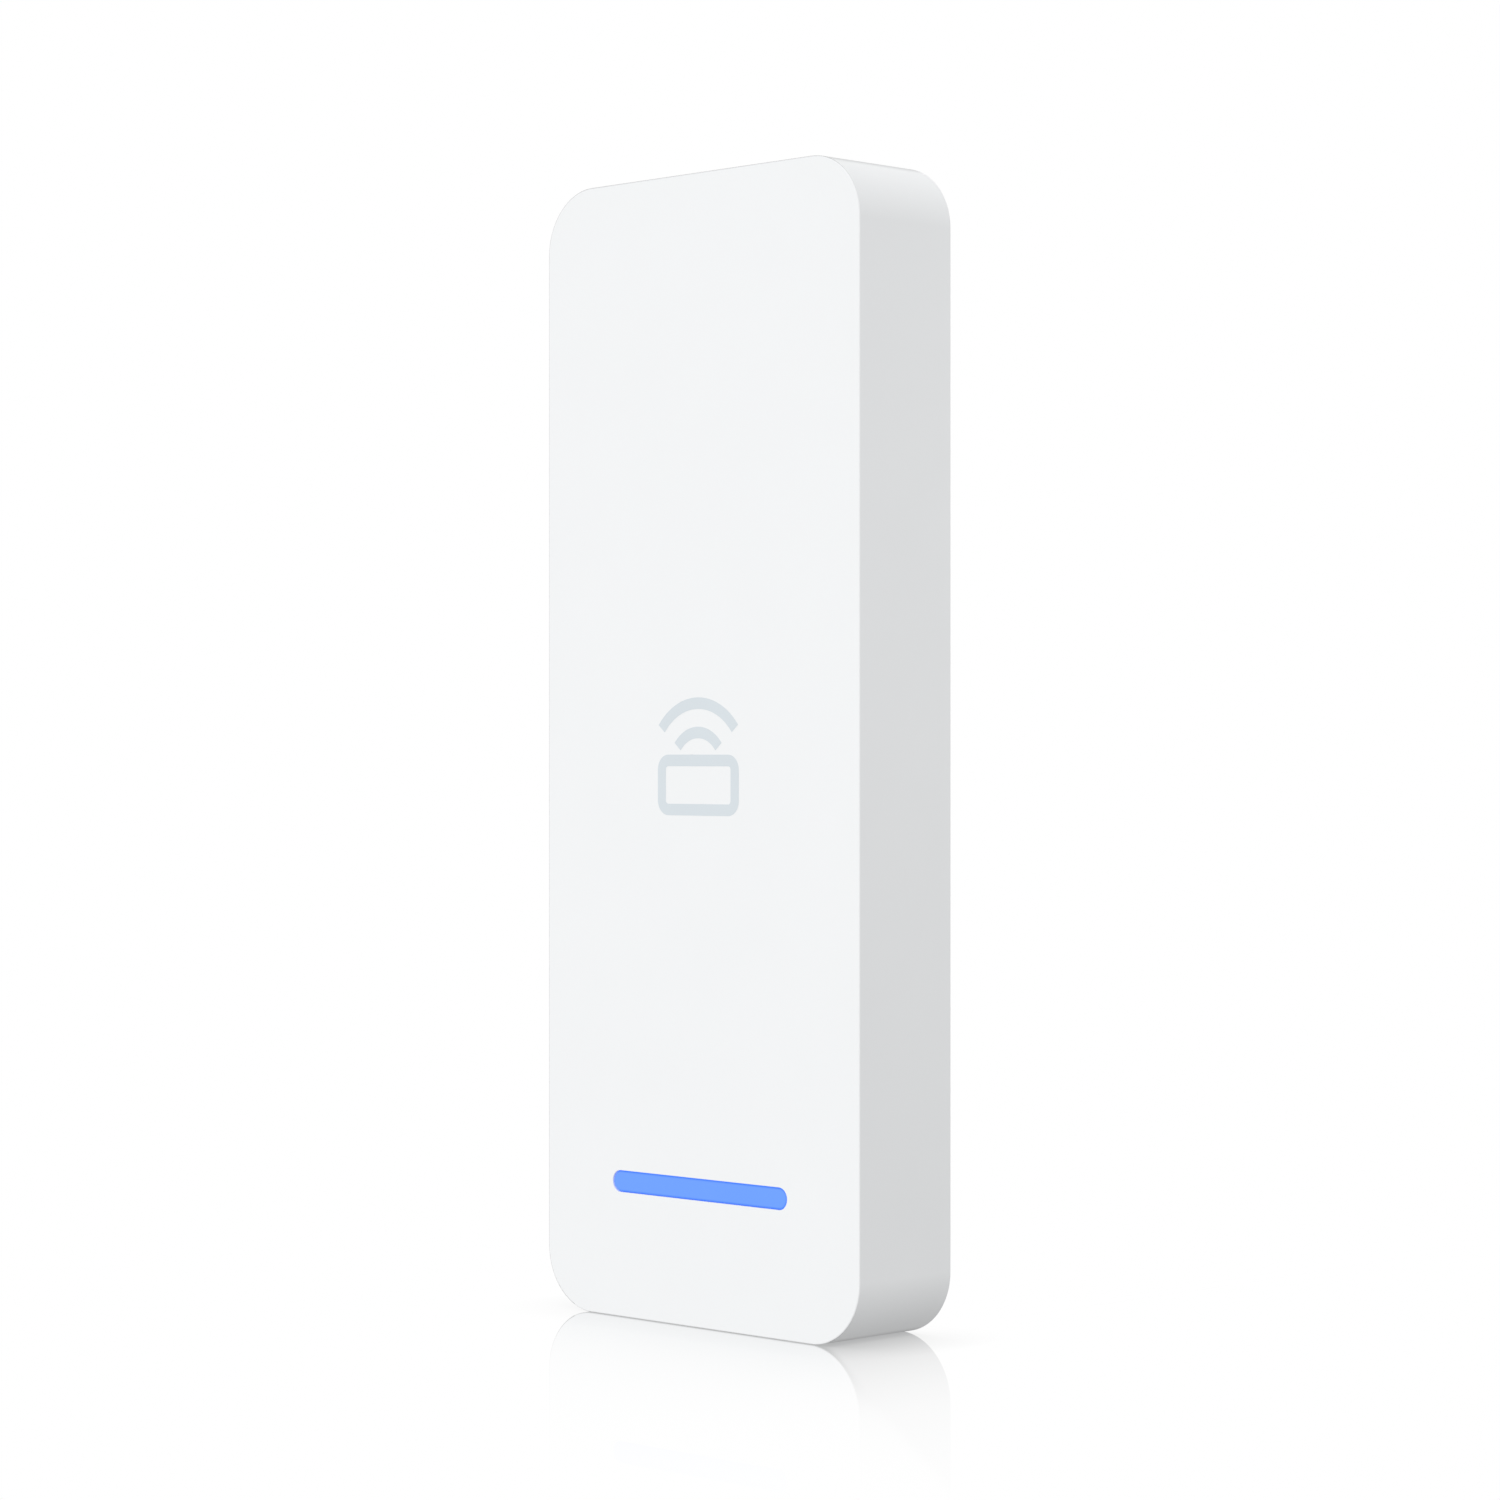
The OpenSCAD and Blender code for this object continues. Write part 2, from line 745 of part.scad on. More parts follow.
// Inside of every pocket, well and recess
module pocket_spaces() {
    for (x = [-hook_x, hook_x]) translate([x, 0, 0]) {
        bar(hook_w + 2 * pocket_gap, pocket_z0, slot_top, cover_back - eps, pocket_deep);
        bar(hook_w + 2 * pocket_gap, pocket_z0, pocket_z1, cover_front, pocket_deep);
    }
    for (z = [-screw_pitch / 2, screw_pitch / 2]) peg(0, z, well_r, cover_back - eps, well_deep);
    bar(recess_w, recess_z0, recess_z1, cover_back - eps, recess_deep);
    // way through to the jack
    bar(socket_w + 0.8, recess_z1 - eps, recess_z1 + pocket_t + eps, cover_front + 0.6, recess_deep);
}

// Rear cover, seated in the rim
module rear_cover() color("dimgray") {
    difference() {
        union() {
            deep(cover_back, cover_front) cover_outline(0);
            pocket_walls();
            at_case_screws() peg(0, 0, pad_r, cover_front - eps, ledge_depth - screw_gap);
        }
        pocket_spaces();
        at_case_screws() {
            peg(0, 0, pilot_r + 0.3, cover_back - eps, ledge_depth + eps);
            peg(0, 0, head_r + 0.15, cover_back - eps, cover_back + head_h + 0.05);
        }
        peg(reset_x, switch_z, button_r + rear_hole_gap, cover_back - eps, cover_front + eps);
        peg(tamper_x, switch_z, plunger_r + rear_hole_gap, cover_back - eps, cover_front + eps);
        peg(vent_x, vent_z, vent_r, cover_back - eps, cover_front + eps);
        chip(0, label_z, label_w + 2 * label_gap, label_h + 2 * label_gap,
             cover_back - eps, cover_back + label_deep);
    }
}

// Foam gasket squeezed between the rear cover and the ledge
module cover_gasket() color("black") {
    gasket_w = ledge_w - 2 * fit_gap;
    difference() {
        deep(cover_front, ledge_depth) cover_outline(0);
        deep(cover_front - eps, ledge_depth + eps) cover_outline(gasket_w);
    }
}

// Breathing membrane over the vent hole
module vent_membrane() color("white") {
    peg(vent_x, vent_z, membrane_r, cover_front, cover_front + membrane_t);
}

// Blank label in its shallow recess
module rating_label() color("white") {
    chip(0, label_z, label_w, label_h, cover_back + label_deep - label_t, cover_back + label_deep);
}

// One self-tapping screw, head to the rear, with a crossed slot
module tapping_screw(r_head, h_head, back, tip) {
    difference() {
        union() {
            peg(0, 0, r_head, back, back + h_head);
            peg(0, 0, pilot_r - screw_gap, back + h_head - eps, tip);
        }
        for (a = [0, 90]) rotate([0, a, 0]) chip(0, 0, r_head * 1.2, 0.4, back - eps, back + 0.5);
    }
}

// Four screws that close the case
module case_screws() color("gray") {
    at_case_screws() tapping_screw(head_r, head_h, cover_back + 0.05, wall_in - 1.4);
}

// Four screws that hold the main board
module board_screws() color("gray") {
    at_board_screws()
        tapping_screw(board_head_r, board_head_h, board_back - board_head_h, wall_in - 0.6);
}

wall_plate();
front_cover();
light_bar();
light_guide();
light_reflector();
status_leds();
antenna_board();
antenna_coil();
ferrite_sheet();
antenna_pins();
main_board();
radio_module();
radio_antenna();
reader_chip();
reader_shield();
processor();
memory_chips();
thermal_pad();
heat_spreader();
network_transformer();
power_inductor();
power_capacitors();
rectifiers();
beeper();
jack_housing();
jack_shield();
jack_contacts();
jack_seal();
reset_switch();
reset_button();
tamper_switch();
tamper_plunger();
tamper_spring();
tamper_seal();
vent_membrane();
rating_label();
rear_cover();
cover_gasket();
case_screws();
board_screws();
lock_screw();
lock_washer();
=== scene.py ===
# %% [markdown]
# # A slim card reader, dressed piece by piece
#
# The reader is a flat white box that hangs on a door frame. A person holds a card or a phone in
# front of it, a bar of light answers, and the door opens. Its mechanics are already settled: a
# frame model holds every part at its real size and place, and this script only gives the parts
# their looks. So each cell starts from the frame and asks it where things are.

# %% Load the frame
import math
import random

import bmesh
import bpy
from mathutils import Matrix, Vector


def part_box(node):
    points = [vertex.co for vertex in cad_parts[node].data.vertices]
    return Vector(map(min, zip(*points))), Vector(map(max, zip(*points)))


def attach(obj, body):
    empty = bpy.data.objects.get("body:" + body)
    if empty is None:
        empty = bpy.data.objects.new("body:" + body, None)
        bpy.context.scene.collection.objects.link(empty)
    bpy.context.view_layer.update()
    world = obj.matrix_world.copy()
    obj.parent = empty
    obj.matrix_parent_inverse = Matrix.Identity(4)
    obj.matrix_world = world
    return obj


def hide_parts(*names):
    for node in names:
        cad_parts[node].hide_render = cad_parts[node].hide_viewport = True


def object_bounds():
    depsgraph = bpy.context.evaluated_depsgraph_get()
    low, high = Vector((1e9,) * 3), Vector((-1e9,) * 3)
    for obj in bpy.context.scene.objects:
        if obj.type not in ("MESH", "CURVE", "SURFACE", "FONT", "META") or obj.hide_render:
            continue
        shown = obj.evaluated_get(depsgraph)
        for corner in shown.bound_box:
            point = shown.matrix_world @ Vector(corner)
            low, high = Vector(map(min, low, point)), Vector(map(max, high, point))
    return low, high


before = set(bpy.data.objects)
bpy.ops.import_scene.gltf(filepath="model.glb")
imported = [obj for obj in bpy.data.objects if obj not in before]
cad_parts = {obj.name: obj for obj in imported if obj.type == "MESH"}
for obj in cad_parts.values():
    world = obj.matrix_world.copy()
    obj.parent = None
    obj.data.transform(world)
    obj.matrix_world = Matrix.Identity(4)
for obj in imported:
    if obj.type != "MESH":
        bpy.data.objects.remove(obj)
cad_low, cad_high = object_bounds()
mm = 0.001
micron = 0.001 * mm
print("overall size in mm:", [round((b - a) / mm, 2) for a, b in zip(cad_low, cad_high)])

# %% [markdown]
# ## Where we stand
#
# A small product looks calm through a long lens from half a metre: the sides stay nearly
# parallel and the front isn't swollen. A wide lens held close would bend the box. The camera is
# level with the middle of the reader and turned 45 degrees, so that front and side both show.

# %% Camera
lens_mm = 94.72
view_turn = math.radians(44.87)      # from looking along +Y, towards -X
eye = (305.2 * mm, -313.1 * mm, (cad_low[2] + cad_high[2]) / 2)

camera_data = bpy.data.cameras.new("level_camera")
camera_data.lens = lens_mm
camera_data.sensor_width = 36
camera_data.clip_start = 10 * mm
camera = bpy.data.objects.new("level_camera", camera_data)
camera.location = eye
camera.rotation_euler = (math.radians(90), 0, view_turn)
bpy.context.scene.collection.objects.link(camera)
bpy.context.scene.camera = camera
print("camera is", round(Vector(eye).length / mm), "mm from the wall face")

# %% [markdown]
# ## Soft light from all round
#
# White plastic in a white room needs light that differs slightly from side to side, or the
# shape vanishes. Lamps could do that, but each would leave its own bright patch. A sky whose
# brightness changes evenly with direction gives the same effect with no patches: brightest from
# the front and above, weaker from the right, weakest from below and behind. It never falls
# under a floor value, because a white ground sends some light back up. Rays that go straight to
# the sky, or off a perfect mirror to it, see plain white paper.

# %% Sky
sky_level = 0.745
sky_slope = (-0.205, -0.37, 0.41)     # how the brightness changes along X, Y and Z
sky_least = 0.42
paper_level = 1.0


def calc(tree, operation, a, b=None):
    """A math node on one or two values, each a number or another node's output."""
    node = tree.nodes.new("ShaderNodeMath")
    node.operation = operation
    for socket, value in zip(node.inputs, (a, b)):
        if isinstance(value, (int, float)):
            socket.default_value = value
        elif value is not None:
            tree.links.new(value, socket)
    return node.outputs[0]


world = bpy.data.worlds.new("soft_studio")
world.use_nodes = True
bpy.context.scene.world = world
bpy.context.scene.view_settings.view_transform = "Standard"
sky = world.node_tree
direction = sky.nodes.new("ShaderNodeTexCoord")
slope = sky.nodes.new("ShaderNodeVectorMath")
slope.operation = "DOT_PRODUCT"
slope.inputs[1].default_value = sky_slope
sky.links.new(direction.outputs["Generated"], slope.inputs[0])
level = calc(sky, "MAXIMUM", calc(sky, "ADD", slope.outputs["Value"], sky_level), sky_least)
path = sky.nodes.new("ShaderNodeLightPath")
straight = calc(sky, "MAXIMUM", path.outputs["Is Camera Ray"], path.outputs["Is Singular Ray"])
paper = sky.nodes.new("ShaderNodeMix")
paper.data_type = "FLOAT"
paper.inputs["B"].default_value = paper_level
sky.links.new(straight, paper.inputs["Factor"])
sky.links.new(level, paper.inputs["A"])
sky_out = sky.nodes["Background"]
sky_out.inputs["Color"].default_value = (1, 1, 1, 1)
sky.links.new(paper.outputs["Result"], sky_out.inputs["Strength"])
print("sky runs from", sky_least, "to", round(sky_level + Vector(sky_slope).length, 2))

# %% [markdown]
# One wide, weak lamp hangs to the right, level with the reader's top. It lifts the upper part
# of the side a little more than the lower part, so that the side doesn't look like cut paper.
# The lamp stands behind the front's plane, so the front stays even.

# %% Side lamp
lamp_place = Vector((190 * mm, 12 * mm, 52 * mm))
lamp_aim = Vector((24 * mm, -7 * mm, 20 * mm))
lamp_power = 0.047

lamp_data = bpy.data.lights.new("side_lamp", "AREA")
lamp_data.shape = "DISK"
lamp_data.size = 120 * mm
lamp_data.energy = lamp_power
lamp = bpy.data.objects.new("side_lamp", lamp_data)
lamp.location = lamp_place
lamp.rotation_euler = (lamp_place - lamp_aim).to_track_quat("Z", "Y").to_euler()
lamp.visible_glossy = False
lamp.visible_camera = False
bpy.context.scene.collection.objects.link(lamp)
print("lamp hangs", round((lamp_place - lamp_aim).length / mm), "mm from the side")

# %% [markdown]
# ## A floor that mirrors what is near
#
# Polished white acrylic mirrors an object where it stands, and the mirror image fades with
# distance. The fade could be faked with a picture laid on the floor; here the floor works out
# how far each point is from the reader's foot, and mixes a mirror into plain white by that
# distance. To the right of the foot, where the rounded corner lifts off, it fades in two
# steps: quickly under the corner, then slowly.

# %% Where the floor mirrors
mirror_at_foot = 0.85
mirror_start = 1.25
mirror_fade = 14.5 * mm
corner_start = 17 * mm                # here the rounded corner leaves the floor
side_near = (4.5 * mm, 0.42)          # how fast a share of the mirror fades, and that share
side_far = (27 * mm, 0.45)
split_start = 19 * mm                 # the front's mirror image ends along this slanting line
split_slant = 1.25
split_blur = 1.5 * mm


def rescale(tree, value, start, end, low=0.0, high=1.0, curve="LINEAR"):
    """The value's run from start to end, stretched to run from low to high."""
    node = tree.nodes.new("ShaderNodeMapRange")
    node.interpolation_type = curve
    for socket, number in zip(node.inputs[1:5], (start, end, low, high)):
        socket.default_value = number
    tree.links.new(value, node.inputs["Value"])
    return node.outputs[0]


def part_way(tree, share, a, b):
    """The value a where share is 0 and b where it is 1."""
    return calc(tree, "ADD", a, calc(tree, "MULTIPLY", share, calc(tree, "SUBTRACT", b, a)))


def fading(tree, distance, reach, share):
    """A share that fades with distance, to about a third of itself over each reach."""
    return calc(tree, "MULTIPLY", calc(tree, "EXPONENT", calc(tree, "DIVIDE", distance, -reach)), share)


def foot_distance(tree, place):
    """How far a point of the floor is from the reader's foot."""
    squares = []
    for axis in (0, 1):
        middle = (cad_low[axis] + cad_high[axis]) / 2
        half = (cad_high[axis] - cad_low[axis]) / 2
        from_middle = calc(tree, "ABSOLUTE", calc(tree, "SUBTRACT", place[axis], middle))
        outside = calc(tree, "MAXIMUM", calc(tree, "SUBTRACT", from_middle, half), 0.0)
        squares.append(calc(tree, "POWER", outside, 2.0))
    return calc(tree, "SQRT", calc(tree, "ADD", *squares))


def floor_mirror(tree, place):
    """How strongly a point mirrors, and whether it lies ahead of the foot (0) or beside it (1)."""
    ahead = fading(tree, foot_distance(tree, place), mirror_fade, mirror_start)
    ahead = calc(tree, "MINIMUM", ahead, mirror_at_foot)
    from_corner = calc(tree, "MAXIMUM", calc(tree, "SUBTRACT", place["X"], corner_start), 0.0)
    beside = calc(tree, "ADD", *(fading(tree, from_corner, *side) for side in (side_near, side_far)))
    before_front = calc(tree, "MAXIMUM", calc(tree, "SUBTRACT", cad_low[1], place["Y"]), 0.0)
    slant = calc(tree, "MULTIPLY", before_front, split_slant)
    past_split = calc(tree, "SUBTRACT", calc(tree, "SUBTRACT", place["X"], split_start), slant)
    which = rescale(tree, past_split, -split_blur, split_blur, curve="SMOOTHSTEP")
    return part_way(tree, which, ahead, beside), which


full_reach = mirror_fade * math.log(mirror_start / mirror_at_foot)
print("the mirror starts to fade", round(full_reach / mm, 1), "mm from the foot")

# %% [markdown]
# Where the reader stands close over the floor the white is a little darker, which is the soft
# shadow that ties an object to its ground. The floor gives off its own white, so that no lamp
# has to light it, and it is clear from below, so that the underside can be looked at.

# %% Floor
shadow_share = (0.60, 0.30)           # how dark the floor gets at the foot: ahead, beside
shadow_reach = 8 * mm
shadow_rays = 12
floor_half = 3000 * mm
floor_drop = 0.03 * mm                # keeps the floor clear of the reader's underside


def point_place(tree):
    """The X, Y and Z of a point in the object's own space."""
    where = tree.nodes.new("ShaderNodeTexCoord")
    parts = tree.nodes.new("ShaderNodeSeparateXYZ")
    tree.links.new(where.outputs["Object"], parts.inputs[0])
    return parts.outputs


def mix_shaders(tree, share, a, b):
    """The shader a where share is 0 and b where it is 1."""
    node = tree.nodes.new("ShaderNodeMixShader")
    for socket, value in zip(node.inputs, (share, a, b)):
        tree.links.new(value, socket)
    return node.outputs[0]


def floor_paint():
    """White that mirrors the reader near its foot, and lets light through from below."""
    paint = bpy.data.materials.new("floor_white")
    paint.use_nodes = True
    tree = paint.node_tree
    tree.nodes.clear()
    share, which = floor_mirror(tree, point_place(tree))
    open_sky = tree.nodes.new("ShaderNodeAmbientOcclusion")
    open_sky.samples = shadow_rays
    open_sky.inputs["Distance"].default_value = shadow_reach
    shut = calc(tree, "SUBTRACT", 1.0, open_sky.outputs["AO"])
    dark = calc(tree, "MULTIPLY", shut, part_way(tree, which, *shadow_share))
    glow = tree.nodes.new("ShaderNodeEmission")
    tree.links.new(calc(tree, "SUBTRACT", 1.0, dark), glow.inputs["Strength"])
    mirror = tree.nodes.new("ShaderNodeBsdfGlossy")
    mirror.inputs["Roughness"].default_value = 0.0
    mirror.inputs["Color"].default_value = (1, 1, 1, 1)
    top = mix_shaders(tree, share, glow.outputs[0], mirror.outputs[0])
    clear = tree.nodes.new("ShaderNodeBsdfTransparent")
    facing = tree.nodes.new("ShaderNodeNewGeometry")
    end = tree.nodes.new("ShaderNodeOutputMaterial")
    tree.links.new(mix_shaders(tree, facing.outputs["Backfacing"], top, clear.outputs[0]), end.inputs[0])
    return paint


floor_z = cad_low[2] - floor_drop
corners = [(x * floor_half, y * floor_half, floor_z) for x, y in ((-1, -1), (1, -1), (1, 1), (-1, 1))]
floor_mesh = bpy.data.meshes.new("floor")
floor_mesh.from_pydata(corners, [], [(0, 1, 2, 3)])
floor = bpy.data.objects.new("floor", floor_mesh)
floor.data.materials.append(floor_paint())
floor.visible_diffuse = False
floor.visible_glossy = False
bpy.context.scene.collection.objects.link(floor)
print("floor lies at z =", round(floor_z / mm, 2), "mm")

# %% [markdown]
# ## Paint that is never quite even
#
# No moulded or rolled surface has one flat colour. A picture of the material could be wrapped
# on, but it would smear at the corners. Noise worked out in the object's own space has no seams:
# it varies the colour a little, the polish a little more, and lifts the surface by a few microns.
# Every finish below starts from these few helpers.

# %% Finish helpers
noise_low, noise_high = 0.3, 0.7      # nearly all noise lies between these


def new_finish(name):
    """A fresh material, its node tree and its main shader."""
    finish = bpy.data.materials.new(name)
    finish.use_nodes = True
    return finish, finish.node_tree, finish.node_tree.nodes["Principled BSDF"]


def mapped(tree, key, value):
    """The object's own space, with its scale or rotation changed."""
    where = tree.nodes.new("ShaderNodeTexCoord")
    node = tree.nodes.new("ShaderNodeMapping")
    node.inputs[key].default_value = value
    tree.links.new(where.outputs["Object"], node.inputs[0])
    return node.outputs[0]


def noise(tree, size, stretch=(1, 1, 1), detail=4.0):
    """Noise whose blotches are about size across, drawn out along the axes in stretch."""
    cloud = tree.nodes.new("ShaderNodeTexNoise")
    cloud.inputs["Scale"].default_value = 1 / size
    cloud.inputs["Detail"].default_value = detail
    tree.links.new(mapped(tree, "Scale", [1 / s for s in stretch]), cloud.inputs["Vector"])
    return cloud.outputs["Fac"]


def spread(tree, value, low, high):
    """Noise, stretched to run from low to high."""
    return rescale(tree, value, noise_low, noise_high, low, high)


def between(tree, share, first, second):
    """A colour between two, each given as a colour or as another node's output."""
    node = tree.nodes.new("ShaderNodeMix")
    node.data_type = "RGBA"
    tree.links.new(share, node.inputs["Factor"])
    for key, colour in (("A", first), ("B", second)):
        if isinstance(colour, tuple):
            node.inputs[key].default_value = (*colour, 1)
        else:
            tree.links.new(colour, node.inputs[key])
    return node.outputs["Result"]


def lift(tree, shader, height, depth):
    """Raises the surface by depth where height is 1."""
    node = tree.nodes.new("ShaderNodeBump")
    node.inputs["Distance"].default_value = depth
    node.inputs["Strength"].default_value = 1.0
    tree.links.new(height, node.inputs["Height"])
    tree.links.new(node.outputs[0], shader.inputs["Normal"])


print("noise is taken to lie between", noise_low, "and", noise_high)

# %% [markdown]
# Most finishes here are one family: fine grain from the mould, the mill or the blast, over slow
# drifts of colour and polish. One recipe makes them all, and each finish only says how coarse,
# how deep and how uneven it is, and whether the grain is drawn out in one direction.

# %% Grained finishes
drift_size = 9 * mm


def shade(colour, change):
    """The colour made lighter or darker by a share."""
    return tuple(min(1.0, max(0.0, c * (1 + change))) for c in colour)


def grained(name, colour, rough, grain, depth, vary, metal=0, stretch=(1, 1, 1)):
    """A moulded, cast or rolled finish, with its grain in mm and the grain's depth in microns."""
    finish, tree, shader = new_finish(name)
    fine = noise(tree, grain * mm, stretch)
    slow = noise(tree, drift_size, detail=2.0)
    tint = between(tree, spread(tree, slow, 0.0, 1.0), shade(colour, -vary), shade(colour, vary))
    tree.links.new(tint, shader.inputs["Base Color"])
    polish = spread(tree, slow, rough - 0.03, rough + 0.03)
    tree.links.new(calc(tree, "ADD", spread(tree, fine, -0.06, 0.06), polish), shader.inputs["Roughness"])
    shader.inputs["Metallic"].default_value = metal
    lift(tree, shader, fine, depth * micron)
    return finish


print("colour and polish drift over about", round(drift_size / mm), "mm")

# %% [markdown]
# ## Shapes from outlines
#
# A moulded box has few surfaces: an outline, walls that follow it, and small radii where they
# meet. Pushing a cube's corners about by hand would never give true arcs. Here an outline is a
# list of points worked out from its radii, and a solid is a row of such outlines skinned one
# after the other.

# %% Outlines


def arc(centre, radius, start, end, steps=8):
    """Points of an arc between two angles in degrees."""
    return [(centre[0] + radius * math.cos(math.radians(start + (end - start) * i / steps)),
             centre[1] + radius * math.sin(math.radians(start + (end - start) * i / steps)))
            for i in range(steps + 1)]


def round_outline(width, height, radius, steps=16):
    """Points of a rectangle with round corners, about (0, 0)."""
    x, z = width / 2 - radius, height / 2 - radius
    middles = ((x, z), (-x, z), (-x, -z), (x, -z))
    return [point for i, middle in enumerate(middles)
            for point in arc(middle, radius, 90 * i, 90 * (i + 1), steps)]


def long_outline(length, height, steps=16):
    """Points of a bar with half-round ends, about (0, 0)."""
    return round_outline(length, height, height / 2 - micron, steps)


def square_outline(width, height):
    """Points of a rectangle with sharp corners, about (0, 0)."""
    x, z = width / 2, height / 2
    return [(-x, -z), (x, -z), (x, z), (-x, z)]


def circle_outline(radius, steps):
    """Points of a circle, about (0, 0)."""
    return [(radius * math.cos(2 * math.pi * i / steps), radius * math.sin(2 * math.pi * i / steps))
            for i in range(steps)]


print("a round outline of 2 by 1 has", len(round_outline(2, 1, 0.2)), "points")

# %% [markdown]
# Blender keeps a mesh as points and faces. The skin below lays out rows of points, joins
# neighbouring rows with four-sided faces and closes the ends, so every solid is closed from the
# start. A block, a slab and a turned part are all the same skin over different rows.

# %% Solids


def into_scene(name, shape, turn_out=True):
    """The built shape as an object in the scene, with its faces turned outwards if asked."""
    if turn_out:
        bmesh.ops.recalc_face_normals(shape, faces=shape.faces)
    mesh = bpy.data.meshes.new(name)
    shape.to_mesh(mesh)
    shape.free()
    thing = bpy.data.objects.new(name, mesh)
    bpy.context.scene.collection.objects.link(thing)
    return thing


def skin(name, rings):
    """A closed solid through rings of points, each ring with the same count."""
    count = len(rings[0])
    shape = bmesh.new()
    rows = [[shape.verts.new(point) for point in ring] for ring in rings]
    for a, b in zip(rows, rows[1:]):
        for i in range(count):
            j = (i + 1) % count
            shape.faces.new((a[i], a[j], b[j], b[i]))
    shape.faces.new(rows[0])
    shape.faces.new(rows[-1])
    return into_scene(name, shape)


def slab(name, outline, back, front, x=0.0, z=0.0):
    """An outline in X and Z, as a solid from depth back to depth front out from the wall."""
    return skin(name, [[(x + px, -depth, z + pz) for px, pz in outline] for depth in (back, front)])


def bar(name, low, high):
    """A block from its lowest to its highest corner."""
    outline = [(low[0], low[2]), (high[0], low[2]), (high[0], high[2]), (low[0], high[2])]
    return skin(name, [[(x, y, z) for x, z in outline] for y in (low[1], high[1])])


def about_axis(point, place, centre, along):
    """A point of a cross section, set at a place along Y or Z from the centre."""
    local = (point[0], place, point[1]) if along == "Y" else (point[0], point[1], place)
    return tuple(c + v for c, v in zip(centre, local))


def turned(name, profile, steps=48, centre=(0, 0, 0), along="Y"):
    """A profile of (radius, place) points turned about Y or Z through the centre."""
    circles = [circle_outline(max(radius, micron), steps) for radius, place in profile]
    return skin(name, [[about_axis(point, place, centre, along) for point in circle]
                       for circle, (radius, place) in zip(circles, profile)])


print("a turned part has", len(circle_outline(1, 48)), "sides unless it is given another count")

# %% [markdown]
# Holes and pockets are other solids taken away, with Blender's exact boolean. It leaves sharp
# edges, which no mould or press does, so the last step on every piece rounds them: first flats
# are merged, then each sharp edge gets a small bevel, points that nearly touch are made one, and
# the light is told to treat the flats as flat.

# %% Cutting and rounding
sliver = 2 * micron                   # points nearer than this are made one


def settle(thing):
    """Makes the modifiers on a piece part of its mesh."""
    seen = thing.evaluated_get(bpy.context.evaluated_depsgraph_get())
    mesh = bpy.data.meshes.new_from_object(seen)
    thing.modifiers.clear()
    thing.data = mesh


def combine(thing, how, others):
    """Takes other solids away from the piece (DIFFERENCE) or adds them (UNION), one by one."""
    for other in others:
        step = thing.modifiers.new(how.lower(), "BOOLEAN")
        step.operation = how
        step.solver = "EXACT"
        step.object = other
        settle(thing)
        bpy.data.objects.remove(other)


def cut(thing, *others):
    combine(thing, "DIFFERENCE", others)


def add(thing, *others):
    combine(thing, "UNION", others)


def ease(thing, width, segments=2, angle=32):
    """Rounds the sharp edges, and keeps the flats flat in the light."""
    flat = thing.modifiers.new("merge_flats", "DECIMATE")
    flat.decimate_type = "DISSOLVE"
    flat.angle_limit = math.radians(0.5)
    edge = thing.modifiers.new("soft_edges", "BEVEL")
    edge.width = width
    edge.segments = segments
    edge.limit_method = "ANGLE"
    edge.angle_limit = math.radians(angle)
    edge.use_clamp_overlap = True
    close = thing.modifiers.new("close_slivers", "WELD")
    close.merge_threshold = sliver
    thing.data.shade_smooth()
    keep = thing.modifiers.new("flat_light", "WEIGHTED_NORMAL")
    keep.keep_sharp = True
    keep.weight = 60
    return thing


print("points nearer than", round(sliver / micron), "microns are made one")

# %% [markdown]
# A finished piece still has to be told what it is: which finish it wears, which moving body it
# rides on, and which part of the frame it stands in for. Doing all of it in one helper means
# that no piece is left behind when the reader swings out.

# %% Dressing a piece


def world_box(thing):
    """Lowest and highest corner of a piece."""
    points = [thing.matrix_world @ vertex.co for vertex in thing.data.vertices]
    return [min(p[i] for p in points) for i in range(3)], [max(p[i] for p in points) for i in range(3)]


def dress(thing, finish, body, replaced=()):
    """Gives a piece its finish, the body that it rides on and the parts it stands for."""
    thing.data.materials.clear()
    thing.data.materials.append(finish)
    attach(thing, body)
    if replaced:
        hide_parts(*replaced)
    size = [round((b - a) / mm, 2) for a, b in zip(*world_box(thing))]
    print(thing.name, "rides on", body, "and measures", size, "mm")


# %% [markdown]
# ## The front cover
#
# One shot of white plastic makes the front, the sides and all the fixings inside. Its corners
# are true 7 mm arcs and its outer edges carry a radius of barely a seventh of a millimetre, which
# draws the thin bright line between front and side. A bevel on a box would round the big corners
# unevenly, so the outside is skinned from outlines, and the inside is then cut out of it.

# %% Front cover
cover_low, cover_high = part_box("front_cover")
lens_low, lens_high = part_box("light_bar")
plate_low, plate_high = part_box("wall_plate")
corner_radius = 7 * mm
edge_radius = 0.14 * mm
edge_steps = 6
wall = 1.6 * mm
ledge = 1.0 * mm
cover_width = cover_high[0] - cover_low[0]
cover_height = cover_high[2] - cover_low[2]
front = -cover_low[1]                 # depths are measured out from the wall
ink = 0.012 * mm                      # the printed sign stands this far off the face
cover_face = front - ink
rim = -cover_high[1]
inside = front - wall
ledge_depth = -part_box("cover_gasket")[0][1]
sill = -52.4 * mm                     # below it the cover is a solid shelf, then one more space
sill_thick = 1.6 * mm
past = 0.5 * mm                       # how far a cutting tool runs past the face it cuts


def cover_outline(inset, steps):
    """The cover's outline, drawn in by inset."""
    return round_outline(cover_width - 2 * inset, cover_height - 2 * inset, corner_radius - inset, steps)


